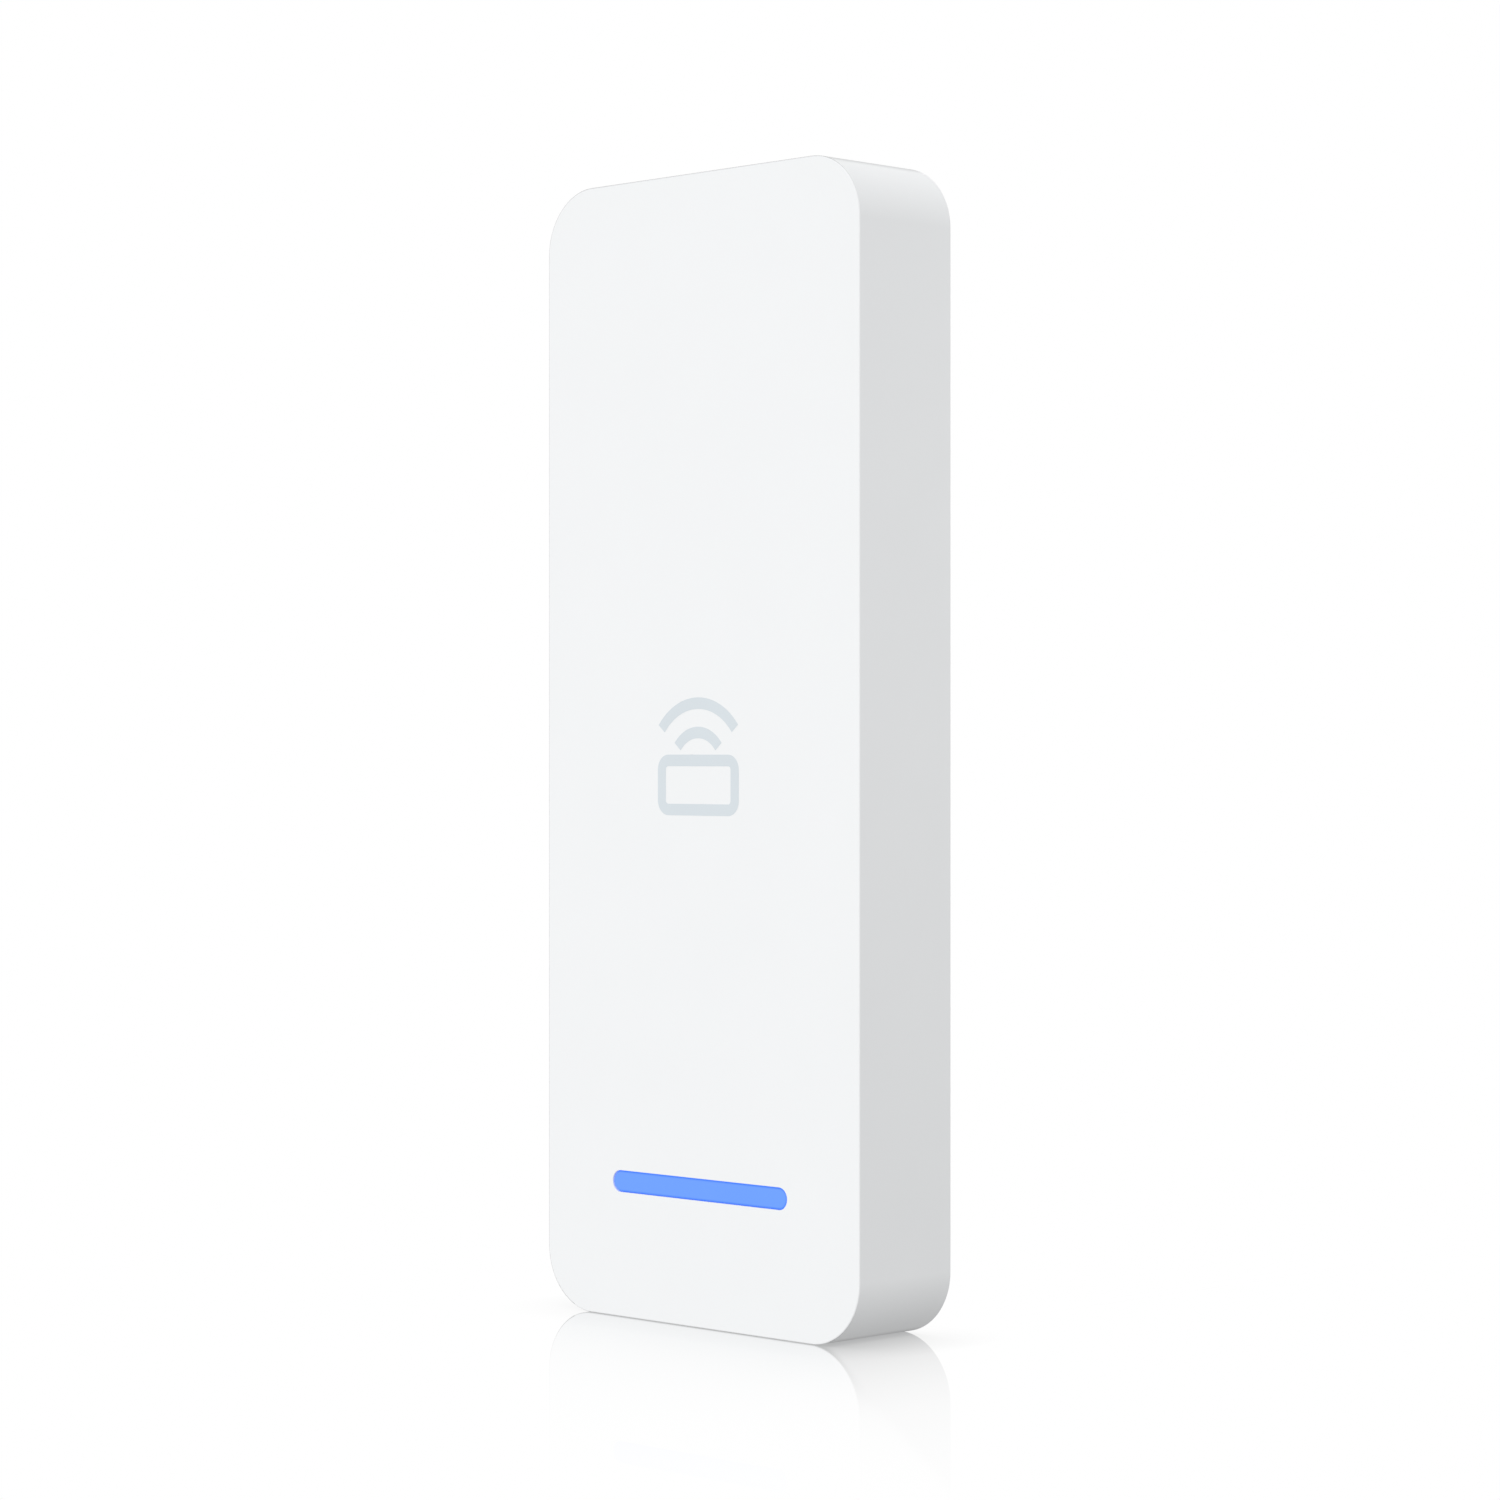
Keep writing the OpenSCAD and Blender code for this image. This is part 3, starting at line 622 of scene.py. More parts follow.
def cover_block():
    """The cover's outside, with its radii along the rear and front edges."""
    turns = [math.radians(90 * i / edge_steps) for i in range(edge_steps + 1)]
    places = [(1 - math.sin(turn), rim + edge_radius * (1 - math.cos(turn))) for turn in turns]
    places += [(1 - math.cos(turn), cover_face - edge_radius * (1 - math.sin(turn))) for turn in turns]
    return skin("cover_shell", [[(x, -depth, z) for x, z in cover_outline(edge_radius * inset, 24)]
                                for inset, depth in places])


def cover_space(inset, back, deep, low=-1.0, high=1.0):
    """A space inside the cover's wall, between two depths and, if given, two heights."""
    outline = [(x, min(max(z, low), high)) for x, z in cover_outline(inset, 12)]
    outline = [p for i, p in enumerate(outline) if math.dist(p, outline[i - 1]) > 0.1 * micron]
    return slab("space", outline, back, deep)


cover_shell = cover_block()
cut(cover_shell,
    cover_space(wall, rim - past, ledge_depth),
    cover_space(wall + ledge, ledge_depth - past, inside, low=sill),
    cover_space(wall, ledge_depth - past, inside, high=sill - sill_thick))
print("cover is", round(cover_width / mm, 1), "wide,", round(cover_height / mm, 1), "high and",
      round(front / mm, 1), "deep")

# %% [markdown]
# The cover holds everything by posts: four tall ones for the case screws, four for the board,
# and a solid foot at the bottom that takes the lock screw. They are moulded in one piece with
# the wall, so they are added to the same solid. A long slot lets the light out at the front.

# %% Posts, screw holes and lock foot
case_places = [(x, z) for x in (-17.6 * mm, 17.6 * mm) for z in (-48.4 * mm, 56.2 * mm)]
board_places = [(x, z) for x in (-18.2 * mm, 18.2 * mm) for z in (-30 * mm, 30 * mm)]
board_low, board_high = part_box("main_board")
board_front, board_back = -board_low[1], -board_high[1]
case_post, board_post, pilot = 2.4 * mm, 1.9 * mm, 0.8 * mm
lock_low, lock_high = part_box("lock_screw")
lock_y = (lock_low[1] + lock_high[1]) / 2
seat_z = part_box("lock_washer")[1][2]
foot_half = 6 * mm
foot_top = -58.5 * mm
bar_z = (lens_low[2] + lens_high[2]) / 2
slot_length = 26.9 * mm
slot_height = 2.4 * mm


def notch(name, radius, low, high):
    """A slot with a round end at the lock screw, open to the rear."""
    outline = arc((0, lock_y), radius, 180, 360, 16) + [(radius, 1 * mm), (-radius, 1 * mm)]
    return skin(name, [[(x, y, z) for x, y in outline] for z in (low, high)])


for x, z in case_places:
    add(cover_shell, slab("post", circle_outline(case_post, 32), ledge_depth, inside + past, x, z))
for x, z in board_places:
    add(cover_shell, slab("post", circle_outline(board_post, 32), board_front, inside + past, x, z))
add(cover_shell, bar("foot", (-foot_half, -inside - past, cover_low[2] + wall / 2),
                     (foot_half, -rim - edge_radius, foot_top)))
for x, z in case_places:
    cut(cover_shell, slab("pilot", circle_outline(pilot, 24), ledge_depth - past, inside - 1 * mm, x, z))
for x, z in board_places:
    cut(cover_shell, slab("pilot", circle_outline(pilot, 24), board_front - past, inside - 0.3 * mm, x, z))
cut(cover_shell,
    notch("neck", 1.7 * mm, seat_z - 0.1 * mm, foot_top + past),
    notch("head", 2.85 * mm, cover_low[2] - past, seat_z),
    slab("slot", long_outline(slot_length, slot_height, 12), inside - past, front + past, z=bar_z))
print("posts:", len(case_places) + len(board_places))

# %% [markdown]
# Injection-moulded covers are spark-eroded: the mould's fine pits leave a soft satin that hides
# fingerprints. White pigment sends most light back, and a trace of blue in it keeps it from
# looking yellow. Paint would be smoother and harder, so the grain stays, very shallow. On top of
# that the colour carries painted shade: it is darkened where the surface turns away from the eye,
# which draws a thin outline round the reader, and it is darkened most on the tight front radius.

# %% Cover finish, with painted shade
# painted shade, for the flats and for the front radius: the share of turning away where the colour starts
# to darken, and how much darker it is at the end
painted_shade_flats = (0.80, 0.45)        # from this share of turning, and how much darker at the end
painted_shade_edges = (0.25, 0.90)
foot_line = -cover_height / 2 + 0.6 * mm


def satin_with_painted_shade(name, start, drop):
    """White satin with painted shade: darker where it turns away from the eye."""
    finish = grained(name, (0.910, 0.923, 0.932), 0.42, 0.22, 2.2, 0.004)
    tree = finish.node_tree
    colour = tree.nodes["Principled BSDF"].inputs["Base Color"]
    facing = tree.nodes.new("ShaderNodeLayerWeight")
    facing.inputs["Blend"].default_value = 0.5
    # painted shade: the colour is mixed towards black as the surface turns away from the eye
    change = rescale(tree, facing.outputs["Facing"], start, 1.0, 0.0, drop)
    tree.links.new(between(tree, change, colour.links[0].from_socket, (0, 0, 0)), colour)
    return finish


def on_front_radius(face):
    """Whether a face of the cover lies on the radius along the front edge, above the foot, where the
    painted shade is strongest.
    """
    near_rim = max(abs(face.center.x) / cover_width, abs(face.center.z) / cover_height) > 0.44
    turning = 0.02 < -face.normal.y < 0.999
    deep = cover_face - edge_radius < -face.center.y < cover_face - micron
    return near_rim and turning and deep and face.center.z > foot_line


ease(cover_shell, 0.08 * mm, 2, 40)
dress(cover_shell, satin_with_painted_shade("cover_white", *painted_shade_flats), "reader", ["front_cover"])
# the front radius wears a second copy of the white, with stronger painted shade
cover_shell.data.materials.append(satin_with_painted_shade("cover_edge_painted_shade", *painted_shade_edges))
edge_faces = [face for face in cover_shell.data.polygons if on_front_radius(face)]
for face in edge_faces:
    face.material_index = 1
print("faces on the front radius:", len(edge_faces))

# %% [markdown]
# ## The light bar
#
# A long lens fills the slot. Behind it sit small lamps and a clear block that spreads their
# light, so its face glows evenly and fades towards the rim, where the block ends. Bare lamps
# would show as dots. The lens is skinned from the slot's own outline, with a slightly crowned
# face and a flange that a real one needs to stay in.

# %% Lens
lens_gap = 0.08 * mm
lens_face = -lens_low[1]
crown = 0.03 * mm
lens_edge = 0.14 * mm
insets = (0.01, 0.04, 0.08, 0.14, 0.3, 0.55, 0.8, 1.0, 1.09)      # mm in from the rim of the lens


def lens_ring(inset, depth):
    """The slot's outline, drawn in by inset, at a depth from the wall."""
    outline = long_outline(slot_length - 2 * inset, slot_height - 2 * inset)
    return [(x, -depth, bar_z + z) for x, z in outline]


face_rings = [lens_ring(lens_gap, depth) for depth in (inside - 0.4 * mm, lens_face - crown - lens_edge)]
for inset in insets:
    from_rim = inset * mm
    drop = lens_edge * max(0.0, 1 - from_rim / lens_edge) ** 2
    dome = crown * (1 - from_rim / (slot_height / 2)) ** 2
    face_rings.append(lens_ring(lens_gap + from_rim, lens_face - drop - dome))
bar_lens = skin("bar_lens", face_rings)
flange = long_outline(lens_high[0] - lens_low[0], lens_high[2] - lens_low[2])
add(bar_lens, slab("flange", flange, -lens_high[1], inside, z=bar_z))
bar_lens.data.shade_smooth()
print("lens lies", round((front - lens_face) / micron), "microns behind the front")

# %% [markdown]
# The lens glows by itself in the dark and takes colour from the pigment by day, so its finish
# has both: a deep blue body and a lighter blue glow. How far a point is from the slot's edge
# says how much of the clear block is behind it, so the glow is worked out from that distance.

# %% Lens finish
glow_middle = (0.112, 0.302, 1.0)
glow_rim = (0.035, 0.17, 0.95)
glow_strength = 0.96
body_dark, body_light = (0.012, 0.03, 0.16), (0.016, 0.04, 0.2)
rim_width = 0.34 * mm


def lens_finish():
    """Blue that glows, less so near the slot's edge."""
    finish, tree, shader = new_finish("lens_blue")
    place = point_place(tree)
    half_run = (slot_length - slot_height) / 2
    past_run = calc(tree, "SUBTRACT", calc(tree, "ABSOLUTE", place["X"]), half_run)
    along = calc(tree, "MAXIMUM", past_run, 0.0)
    across = calc(tree, "SUBTRACT", place["Z"], bar_z)
    squares = [calc(tree, "POWER", calc(tree, "ABSOLUTE", value), 2.0) for value in (along, across)]
    from_edge = calc(tree, "SUBTRACT", slot_height / 2, calc(tree, "SQRT", calc(tree, "ADD", *squares)))
    share = rescale(tree, from_edge, 0.0, rim_width, curve="SMOOTHSTEP")
    share = calc(tree, "MULTIPLY", share, spread(tree, noise(tree, 6 * mm, detail=1.0), 0.97, 1.0))
    tree.links.new(between(tree, share, glow_rim, glow_middle), shader.inputs["Emission Color"])
    shader.inputs["Emission Strength"].default_value = glow_strength
    fine = noise(tree, 0.12 * mm)
    tree.links.new(between(tree, fine, body_dark, body_light), shader.inputs["Base Color"])
    tree.links.new(spread(tree, fine, 0.28, 0.36), shader.inputs["Roughness"])
    lift(tree, shader, fine, 1 * micron)
    return finish


dress(bar_lens, lens_finish(), "reader", ["light_bar"])

# %% [markdown]
# ## The printed sign
#
# The front carries a small pale print that says where to hold the card. Here it is a plain card
# with radio waves above it, a sign that anyone may use. Ink is thin but real: pad printing lays
# down about a hundredth of a millimetre, so the sign is a solid of that thickness and not a
# picture. Each stroke is a ribbon of even width along an arc or a rounded frame.

# %% Strokes


def ribbon(path, width, closed, back, deep):
    """A stroke of even width along points in X and Z, from one depth to another."""
    count = len(path)
    shape = bmesh.new()
    rows = []
    for i, (x, z) in enumerate(path):
        before = path[i - 1] if closed or i else path[0]
        after = path[(i + 1) % count] if closed or i < count - 1 else path[-1]
        run = Vector((after[0] - before[0], after[1] - before[1])).normalized()
        right_x, right_z = run.y * width / 2, -run.x * width / 2
        left, right = (x - right_x, z - right_z), (x + right_x, z + right_z)
        rows.append([shape.verts.new((p[0], -depth, p[1])) for p, depth in
                     ((left, back), (left, deep), (right, deep), (right, back))])
    for i in range(count if closed else count - 1):
        a, b = rows[i], rows[(i + 1) % count]
        for k in range(4):
            shape.faces.new((a[k], a[(k + 1) % 4], b[(k + 1) % 4], b[k]))
    if not closed:
        shape.faces.new(rows[0])
        shape.faces.new(rows[-1])
    return into_scene("stroke", shape)


def join(name, things):
    """Several meshes as one piece."""
    shape = bmesh.new()
    for thing in things:
        shape.from_mesh(thing.data)
        bpy.data.objects.remove(thing)
    return into_scene(name, shape, turn_out=False)


print("ink stands", round(ink / micron), "microns off the cover's face")

# %% Printed sign
sign_width = 12.5 * mm
sign_low = -7.1 * mm
sign_high = 5.7 * mm
stroke = 1.25 * mm
card_height = 6.6 * mm
card_z = sign_low + card_height / 2
wave_centre = sign_low + card_height - 1.6 * mm
wave_angle = 52                       # degrees to either side of straight up
ink_depths = (front - 0.05 * mm, front)

card = round_outline(sign_width - stroke, card_height - stroke, 1.0 * mm, 10)
strokes = [ribbon([(x, card_z + z) for x, z in card], stroke, True, *ink_depths)]
for radius in (4.0 * mm, sign_high - wave_centre - stroke / 2):
    wave = arc((0, wave_centre), radius, 90 + wave_angle, 90 - wave_angle, 24)
    strokes.append(ribbon(wave, stroke, False, *ink_depths))
ink_grey = grained("ink_grey", (0.69, 0.75, 0.79), 0.4, 0.1, 1, 0.01)
dress(join("printed_sign", strokes), ink_grey, "reader")

# %% [markdown]
# ## The wall plate
#
# The plate is one piece of 1 mm stainless sheet. Its hooks and its lock tab aren't welded on:
# they are cut free on three sides and bent out, so each bend has a small inner radius and a
# larger outer one, and a narrow relief on either side where the sheet would otherwise tear. A
# slab with blocks stuck to it would look cast. Here each bent strip is drawn as a side view with
# its true radii, and the sheet gets the cut-outs that the strips came from.

# %% Bent strips
sheet = 1 * mm
bend_inner = 0.3 * mm
bend_outer = bend_inner + sheet
hook_top = 53 * mm                    # the step that the reader hangs on
hook_tip = 56 * mm
hook_out = 5.2 * mm
hook_root = hook_top + 2.2 * mm
tab_low = plate_low[2]
tab_out = -plate_low[1]               # the lock tab reaches furthest from the wall
tab_root = tab_low + 3 * mm


def hook_side():
    """The side view of a hook as (depth, z) points: out from the wall, then up."""
    low = hook_top - sheet
    near = (bend_outer, low + bend_outer)
    far = (hook_out - bend_outer, low + bend_outer)
    tip = 0.35 * mm
    points = [(0, hook_root)] + arc(near, bend_outer, 180, 270) + arc(far, bend_outer, 270, 360)
    points += arc((hook_out - tip, hook_tip - tip), tip, 0, 90, 4)
    points += arc((hook_out - sheet + tip, hook_tip - tip), tip, 90, 180, 4)
    points += arc(far, bend_inner, 0, -90, 5) + arc(near, bend_inner, 270, 180, 5)
    return points + [(sheet, hook_root)]


def tab_side():
    """The side view of the lock tab: straight out from the wall."""
    near = (bend_outer, tab_low + bend_outer)
    tip = 0.2 * mm
    points = [(0, tab_root)] + arc(near, bend_outer, 180, 270)
    points += arc((tab_out - tip, tab_low + tip), tip, -90, 0, 3)
    points += arc((tab_out - tip, tab_low + sheet - tip), tip, 0, 90, 3)
    return points + arc(near, bend_inner, 270, 180, 5) + [(sheet, tab_root)]


def strip(side_view, width, x=0.0):
    """A bent strip: its side view as (depth, z) points, width across."""
    sides = (x - width / 2, x + width / 2)
    return skin("strip", [[(side, -depth, z) for depth, z in side_view] for side in sides])


print("hooks reach", round(hook_out / mm, 2), "mm and the lock tab", round(tab_out / mm, 2), "mm out")

# %% [markdown]
# The sheet itself is a slab with round corners. Each opening is cut before its strip is added,
# because the same cut made afterwards would take the strip away again. The cable window and the
# two screw holes come last.

# %% Wall plate
plate_top = 60.3 * mm
plate_radius = 4 * mm
hook_places = (-9 * mm, 9 * mm)
hook_half = 3.5 * mm
blank_low = 44.8 * mm                 # the hook's own metal comes from the opening below it
tab_half = 7 * mm
relief = 0.6 * mm
cable_window = (18 * mm, 17 * mm, 3 * mm)
wall_screws = (-41.65 * mm, 41.65 * mm)
wall_screw_radius = 2 * mm


def opening(outline, z):
    """A tool for a hole right through the sheet."""
    return slab("opening", outline, -sheet, 2 * sheet, z=z)


plate_outline = round_outline(plate_high[0] - plate_low[0], plate_top - tab_low, plate_radius)
plate_sheet = slab("plate_sheet", plate_outline, 0, sheet, z=(plate_top + tab_low) / 2)
for x in hook_places:
    cut(plate_sheet,
        bar("blank", (x - hook_half, -2 * sheet, blank_low), (x + hook_half, sheet, hook_top)),
        bar("relief", (x - hook_half - relief, -2 * sheet, hook_top - 1.4 * mm),
            (x + hook_half + relief, sheet, hook_top + 1.6 * mm)))
    add(plate_sheet, strip(hook_side(), 2 * hook_half, x))
cut(plate_sheet, bar("relief", (-tab_half - relief, -2 * sheet, tab_low - sheet),
                     (tab_half + relief, sheet, tab_low + 2.4 * mm)))
add(plate_sheet, strip(tab_side(), 2 * tab_half))
cut(plate_sheet, opening(round_outline(*cable_window), -11.5 * mm))
for z in wall_screws:
    cut(plate_sheet, opening(circle_outline(wall_screw_radius, 40), z))
print("plate has", len(plate_sheet.data.polygons), "faces before its edges are rounded")

# %% [markdown]
# The lock screw bites in a clinch nut, a hard steel ring pressed into the tab, because 1 mm of
# sheet can't hold a thread. Its bore is threaded right through. The nut is turned from its
# profile and joined to the tab, then the bore is cut with a little funnel at each end.

# %% Clinch nut
nut_radius = 2.6 * mm
nut_low = tab_low + 0.5 * mm
nut_top = -54.7 * mm
nut_edge = 0.25 * mm
bore = 1.52 * mm
funnel = 0.2 * mm
lock_axis = (0, lock_y, 0)

nut_profile = [(0, nut_low), (nut_radius, nut_low), (nut_radius, nut_top - nut_edge),
               (nut_radius - nut_edge, nut_top), (0, nut_top)]
drill_profile = [(0, tab_low - sheet), (bore + funnel, tab_low - sheet), (bore + funnel, tab_low),
                 (bore, tab_low + funnel), (bore, nut_top - funnel), (bore + funnel, nut_top),
                 (bore + funnel, nut_top + sheet), (0, nut_top + sheet)]
add(plate_sheet, turned("nut", nut_profile, centre=lock_axis, along="Z"))
cut(plate_sheet, turned("drill", drill_profile, centre=lock_axis, along="Z"))
steel_sheet = grained("steel_sheet", (0.56, 0.565, 0.57), 0.36, 0.12, 1.6, 0.03,
                      metal=1, stretch=(26, 1, 1))
ease(plate_sheet, 0.09 * mm, 2, 50)
dress(plate_sheet, steel_sheet, "wall_plate", ["wall_plate"])

# %% [markdown]
# ## The lock screw
#
# One screw at the bottom keeps the reader on the wall. Its socket is six-sided with a pin left
# in the middle, so a plain key doesn't fit. A thread is a groove that climbs, and a bump in the
# material would leave the outline smooth, so the thread here is cut for real: every ring of
# points follows the groove's height at each angle, at a pitch of half a millimetre.

# %% Threads
pitch = 0.5 * mm
rows_per_turn = 8
lead = 0.6 * mm                       # the thread and its core taper off over this length


def threaded(root, crest, low, high, centre=(0, 0, 0), along="Z", steps=40):
    """A right-handed thread from low to high, its depth fading out over the lead."""
    rows = max(8, int((high - low) / (pitch / rows_per_turn)))
    rings = []
    for i in range(rows + 1):
        place = low + (high - low) * i / rows
        left = (high - place) / lead
        ring = []
        for k in range(steps):
            angle = 2 * math.pi * k / steps
            tooth = min(1.0, max(0.0, 1.5 - 3.2 * abs((place / pitch - angle / (2 * math.pi)) % 1.0 - 0.5)))
            ridge = (crest - root) * tooth * min(1.0, left)
            radius = root + ridge - (root * 0.25) * max(0.0, 1 - left) ** 2
            point = (radius * math.cos(angle), radius * math.sin(angle))
            ring.append(about_axis(point, -place if along == "Y" else place, centre, along))
        rings.append(ring)
    return skin("thread", rings)


def round_over(radius, width, low, height, angles):
    """Profile points where a flat end turns over into a side of the given radius."""
    turns = [math.radians(angle) for angle in angles]
    return [(radius - width + width * math.sin(turn), low + height * (1 - math.cos(turn)))
            for turn in turns]


print("threads climb", pitch / mm, "mm a turn")

# %% [markdown]
# A real one is pressed into shape cold, and its thread is rolled between dies. Here the head and
# the neck are one turned profile, the thread is added to it, the socket is cut, and the pin is
# put back in the socket's middle. The steel is blackened, so that the screw is easy to overlook.

# %% Lock screw
head_low, head_top = lock_low[2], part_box("lock_washer")[0][2]
head_radius = (lock_high[0] - lock_low[0]) / 2
head_round = 0.9 * mm
head_rise = 0.55 * mm
thread_radius = 1.5 * mm
neck_radius = 1.2 * mm
thread_root = neck_radius + 0.02 * mm
thread_start = -59.7 * mm
hexagon = circle_outline(1.2 * mm, 6)
socket_depth = 0.9 * mm
pin_radius = 0.4 * mm
pin_low = head_low + 0.18 * mm
pin_edge = 0.08 * mm

head_profile = [(0, head_low), (head_radius - head_round, head_low)]
head_profile += round_over(head_radius, head_round, head_low, head_rise, range(15, 91, 15))
head_profile += [(head_radius, head_top - 0.12 * mm), (head_radius - 0.12 * mm, head_top),
                 (neck_radius + 0.15 * mm, head_top), (neck_radius, head_top + 0.15 * mm),
                 (neck_radius, thread_start + 0.3 * mm), (0, thread_start + 0.3 * mm)]
pin_profile = [(0, pin_low), (pin_radius - pin_edge, pin_low), (pin_radius, pin_low + pin_edge),
               (pin_radius, head_low + 1.1 * mm), (0, head_low + 1.1 * mm)]
lock_screw_body = turned("lock_screw_body", head_profile, 56, lock_axis, "Z")
add(lock_screw_body, threaded(thread_root, thread_radius, thread_start, lock_high[2], lock_axis))
cut(lock_screw_body, skin("socket", [[about_axis(point, z, lock_axis, "Z") for point in hexagon]
                                     for z in (head_low - 0.5 * mm, head_low + socket_depth)]))
add(lock_screw_body, turned("pin", pin_profile, 24, lock_axis, "Z"))
lock_steel = grained("lock_steel", (0.19, 0.19, 0.2), 0.34, 0.08, 1.2, 0.06, metal=1)
ease(lock_screw_body, 0.03 * mm, 1, 50)
dress(lock_screw_body, lock_steel, "lock_screw", ["lock_screw"])

# %% [markdown]
# The washer under the head is punched from sheet. It has a hole, so it can't be one skin between
# two ends; its section is a closed loop instead, carried once round the screw.

# %% Washer
washer_low, washer_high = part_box("lock_washer")
washer_inner = 1.6 * mm
washer_outer = (washer_high[0] - washer_low[0]) / 2
washer_edge = 0.07 * mm


def hollow_ring(name, loop, steps, centre):
    """A closed loop of (radius, place) points turned about Z into a ring."""
    shape = bmesh.new()
    rings = [[about_axis((radius * x, radius * y), place, centre, "Z") for radius, place in loop]
             for x, y in circle_outline(1.0, steps)]
    rows = [[shape.verts.new(point) for point in ring] for ring in rings]
    for k in range(steps):
        a, b = rows[k], rows[(k + 1) % steps]
        for i in range(len(loop)):
            j = (i + 1) % len(loop)
            shape.faces.new((a[i], a[j], b[j], b[i]))
    return into_scene(name, shape)


def edged_loop(inner, outer, low, high, edge):
    """A rectangle with its corners cut off, as (radius, place) points."""
    return [(inner, low + edge), (inner + edge, low), (outer - edge, low), (outer, low + edge),
            (outer, high - edge), (outer - edge, high), (inner + edge, high), (inner, high - edge)]


washer_loop = edged_loop(washer_inner, washer_outer, washer_low[2], washer_high[2], washer_edge)
washer_ring = ease(hollow_ring("washer_ring", washer_loop, 56, lock_axis), 0.015 * mm, 1, 60)
washer_steel = grained("washer_steel", (0.5, 0.5, 0.51), 0.3, 0.1, 1.5, 0.04, metal=1)
dress(washer_ring, washer_steel, "lock_washer", ["lock_washer"])

# %% [markdown]
# ## Tapping screws
#
# Eight small screws cut their own way into the plastic posts: four close the case and four hold
# the board. Each has a pan head with a crossed recess and a coarse, thin thread that stands out
# from a slimmer core. One is built and its points are then set down at every place, which keeps
# all of them the same, as they would be out of one box.

# %% Case screws and board screws
cross_width = 0.42 * mm
shank_radius = 0.55 * mm
core_radius, core_crest = 0.53 * mm, 0.78 * mm


def tapping_screw(box, head_radius, head_height, slot_depth):
    """One screw at the origin, its head at the rear of the box and its tip at the front."""
    back, tip = -box[1][1], -box[0][1]
    under = back + head_height
    round_edge = 0.45 * head_height
    profile = [(0, back)] + round_over(head_radius, round_edge, back, round_edge, range(0, 91, 18))
    profile += [(head_radius, under - 0.05 * mm), (head_radius - 0.05 * mm, under), (0.62 * mm, under),
                (shank_radius, under + 0.1 * mm), (shank_radius, under + 0.4 * mm), (0, under + 0.4 * mm)]
    screw = turned("screw", [(radius, -depth) for radius, depth in profile], 32)
    add(screw, threaded(core_radius, core_crest, under + 0.25 * mm, tip, along="Y", steps=20))
    reach = head_radius * 0.58
    for across, up in ((reach, cross_width / 2), (cross_width / 2, reach)):
        outline = square_outline(2 * across, 2 * up)
        cut(screw, skin("cross", [[(x * share, -depth, z * share) for x, z in outline]
                                  for depth, share in ((back - 0.2 * mm, 1.08), (back + slot_depth, 0.8))]))
    return screw


def set_down(name, thing, places):
    """Copies of one mesh at several places, as one piece."""
    shape = bmesh.new()
    for x, z in places:
        copy = thing.data.copy()
        copy.transform(Matrix.Translation((x, 0, z)))
        shape.from_mesh(copy)
        bpy.data.meshes.remove(copy)
    bpy.data.objects.remove(thing)
    return into_scene(name, shape, turn_out=False)


screw_steel = grained("screw_steel", (0.62, 0.62, 0.63), 0.3, 0.09, 1.2, 0.05, metal=1)
# each kind: its places, and the radius of its head, the head's height and the recess's depth
screw_kinds = {
    "case_screw": (case_places, 1.8 * mm, 1.2 * mm, 0.55 * mm),
    "board_screw": (board_places, 1.5 * mm, 0.9 * mm, 0.5 * mm),
}
for kind, (places, *head) in screw_kinds.items():
    screw = tapping_screw(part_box(kind + "s"), *head)
    screw_set = ease(set_down(kind + "_set", screw, places), 0.02 * mm, 1, 55)
    dress(screw_set, screw_steel, "reader", [kind + "s"])

# %% [markdown]
# ## The spring of the plunger
#
# Round wire wound on a rod: the coils at both ends lie flat so that the spring stands straight.
# A stack of rings would do for a model of forces but not for the eye. A path climbs round the
# axis, slowly at the ends and fast in the middle, and a circle of points is carried along it.

# %% Tamper spring
spring_low, spring_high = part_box("tamper_spring")
wire = 0.12 * mm                      # radius of the wire
coils = 4.5
flat_turns = 0.75                     # at each end
steps_a_turn, wire_sides = 36, 10
spring_x, spring_z = [(spring_low[i] + spring_high[i]) / 2 for i in (0, 2)]
spring_radius = (spring_high[2] - spring_low[2]) / 2 - wire


def spring_coil():
    """The wire as a skin round a climbing path."""
    steps = int(coils * steps_a_turn)
    back, deep = -spring_high[1] + wire, -spring_low[1] - wire
    rings = []
    for i in range(steps + 1):
        turns = coils * i / steps
        climb = min(1.0, max(0.0, (turns - flat_turns) / (coils - 2 * flat_turns)))
        out = Vector((math.cos(2 * math.pi * turns), 0, math.sin(2 * math.pi * turns)))
        middle = Vector((spring_x, -(back + (deep - back) * climb), spring_z)) + out * spring_radius
        section = circle_outline(wire, wire_sides)
        rings.append([tuple(middle + out * p + Vector((0, q, 0))) for p, q in section])
    return skin("spring_coil", rings)


coil = spring_coil()
coil.data.shade_smooth()
spring_steel = grained("spring_steel", (0.5, 0.49, 0.47), 0.28, 0.06, 0.8, 0.05, metal=1)
dress(coil, spring_steel, "reader", ["tamper_spring"])

# %% [markdown]
# ## Finishes for the parts that keep their frame shape
#
# Many parts are already the right shape: chips, boards, the jack's shell, the rear cover. They
# lack what a mould or a press leaves, a small radius on every edge and a surface of their own.
# The radii come from the same edge rounding as above, with a width that suits each part's size;
# the surfaces come from what each part is made of.

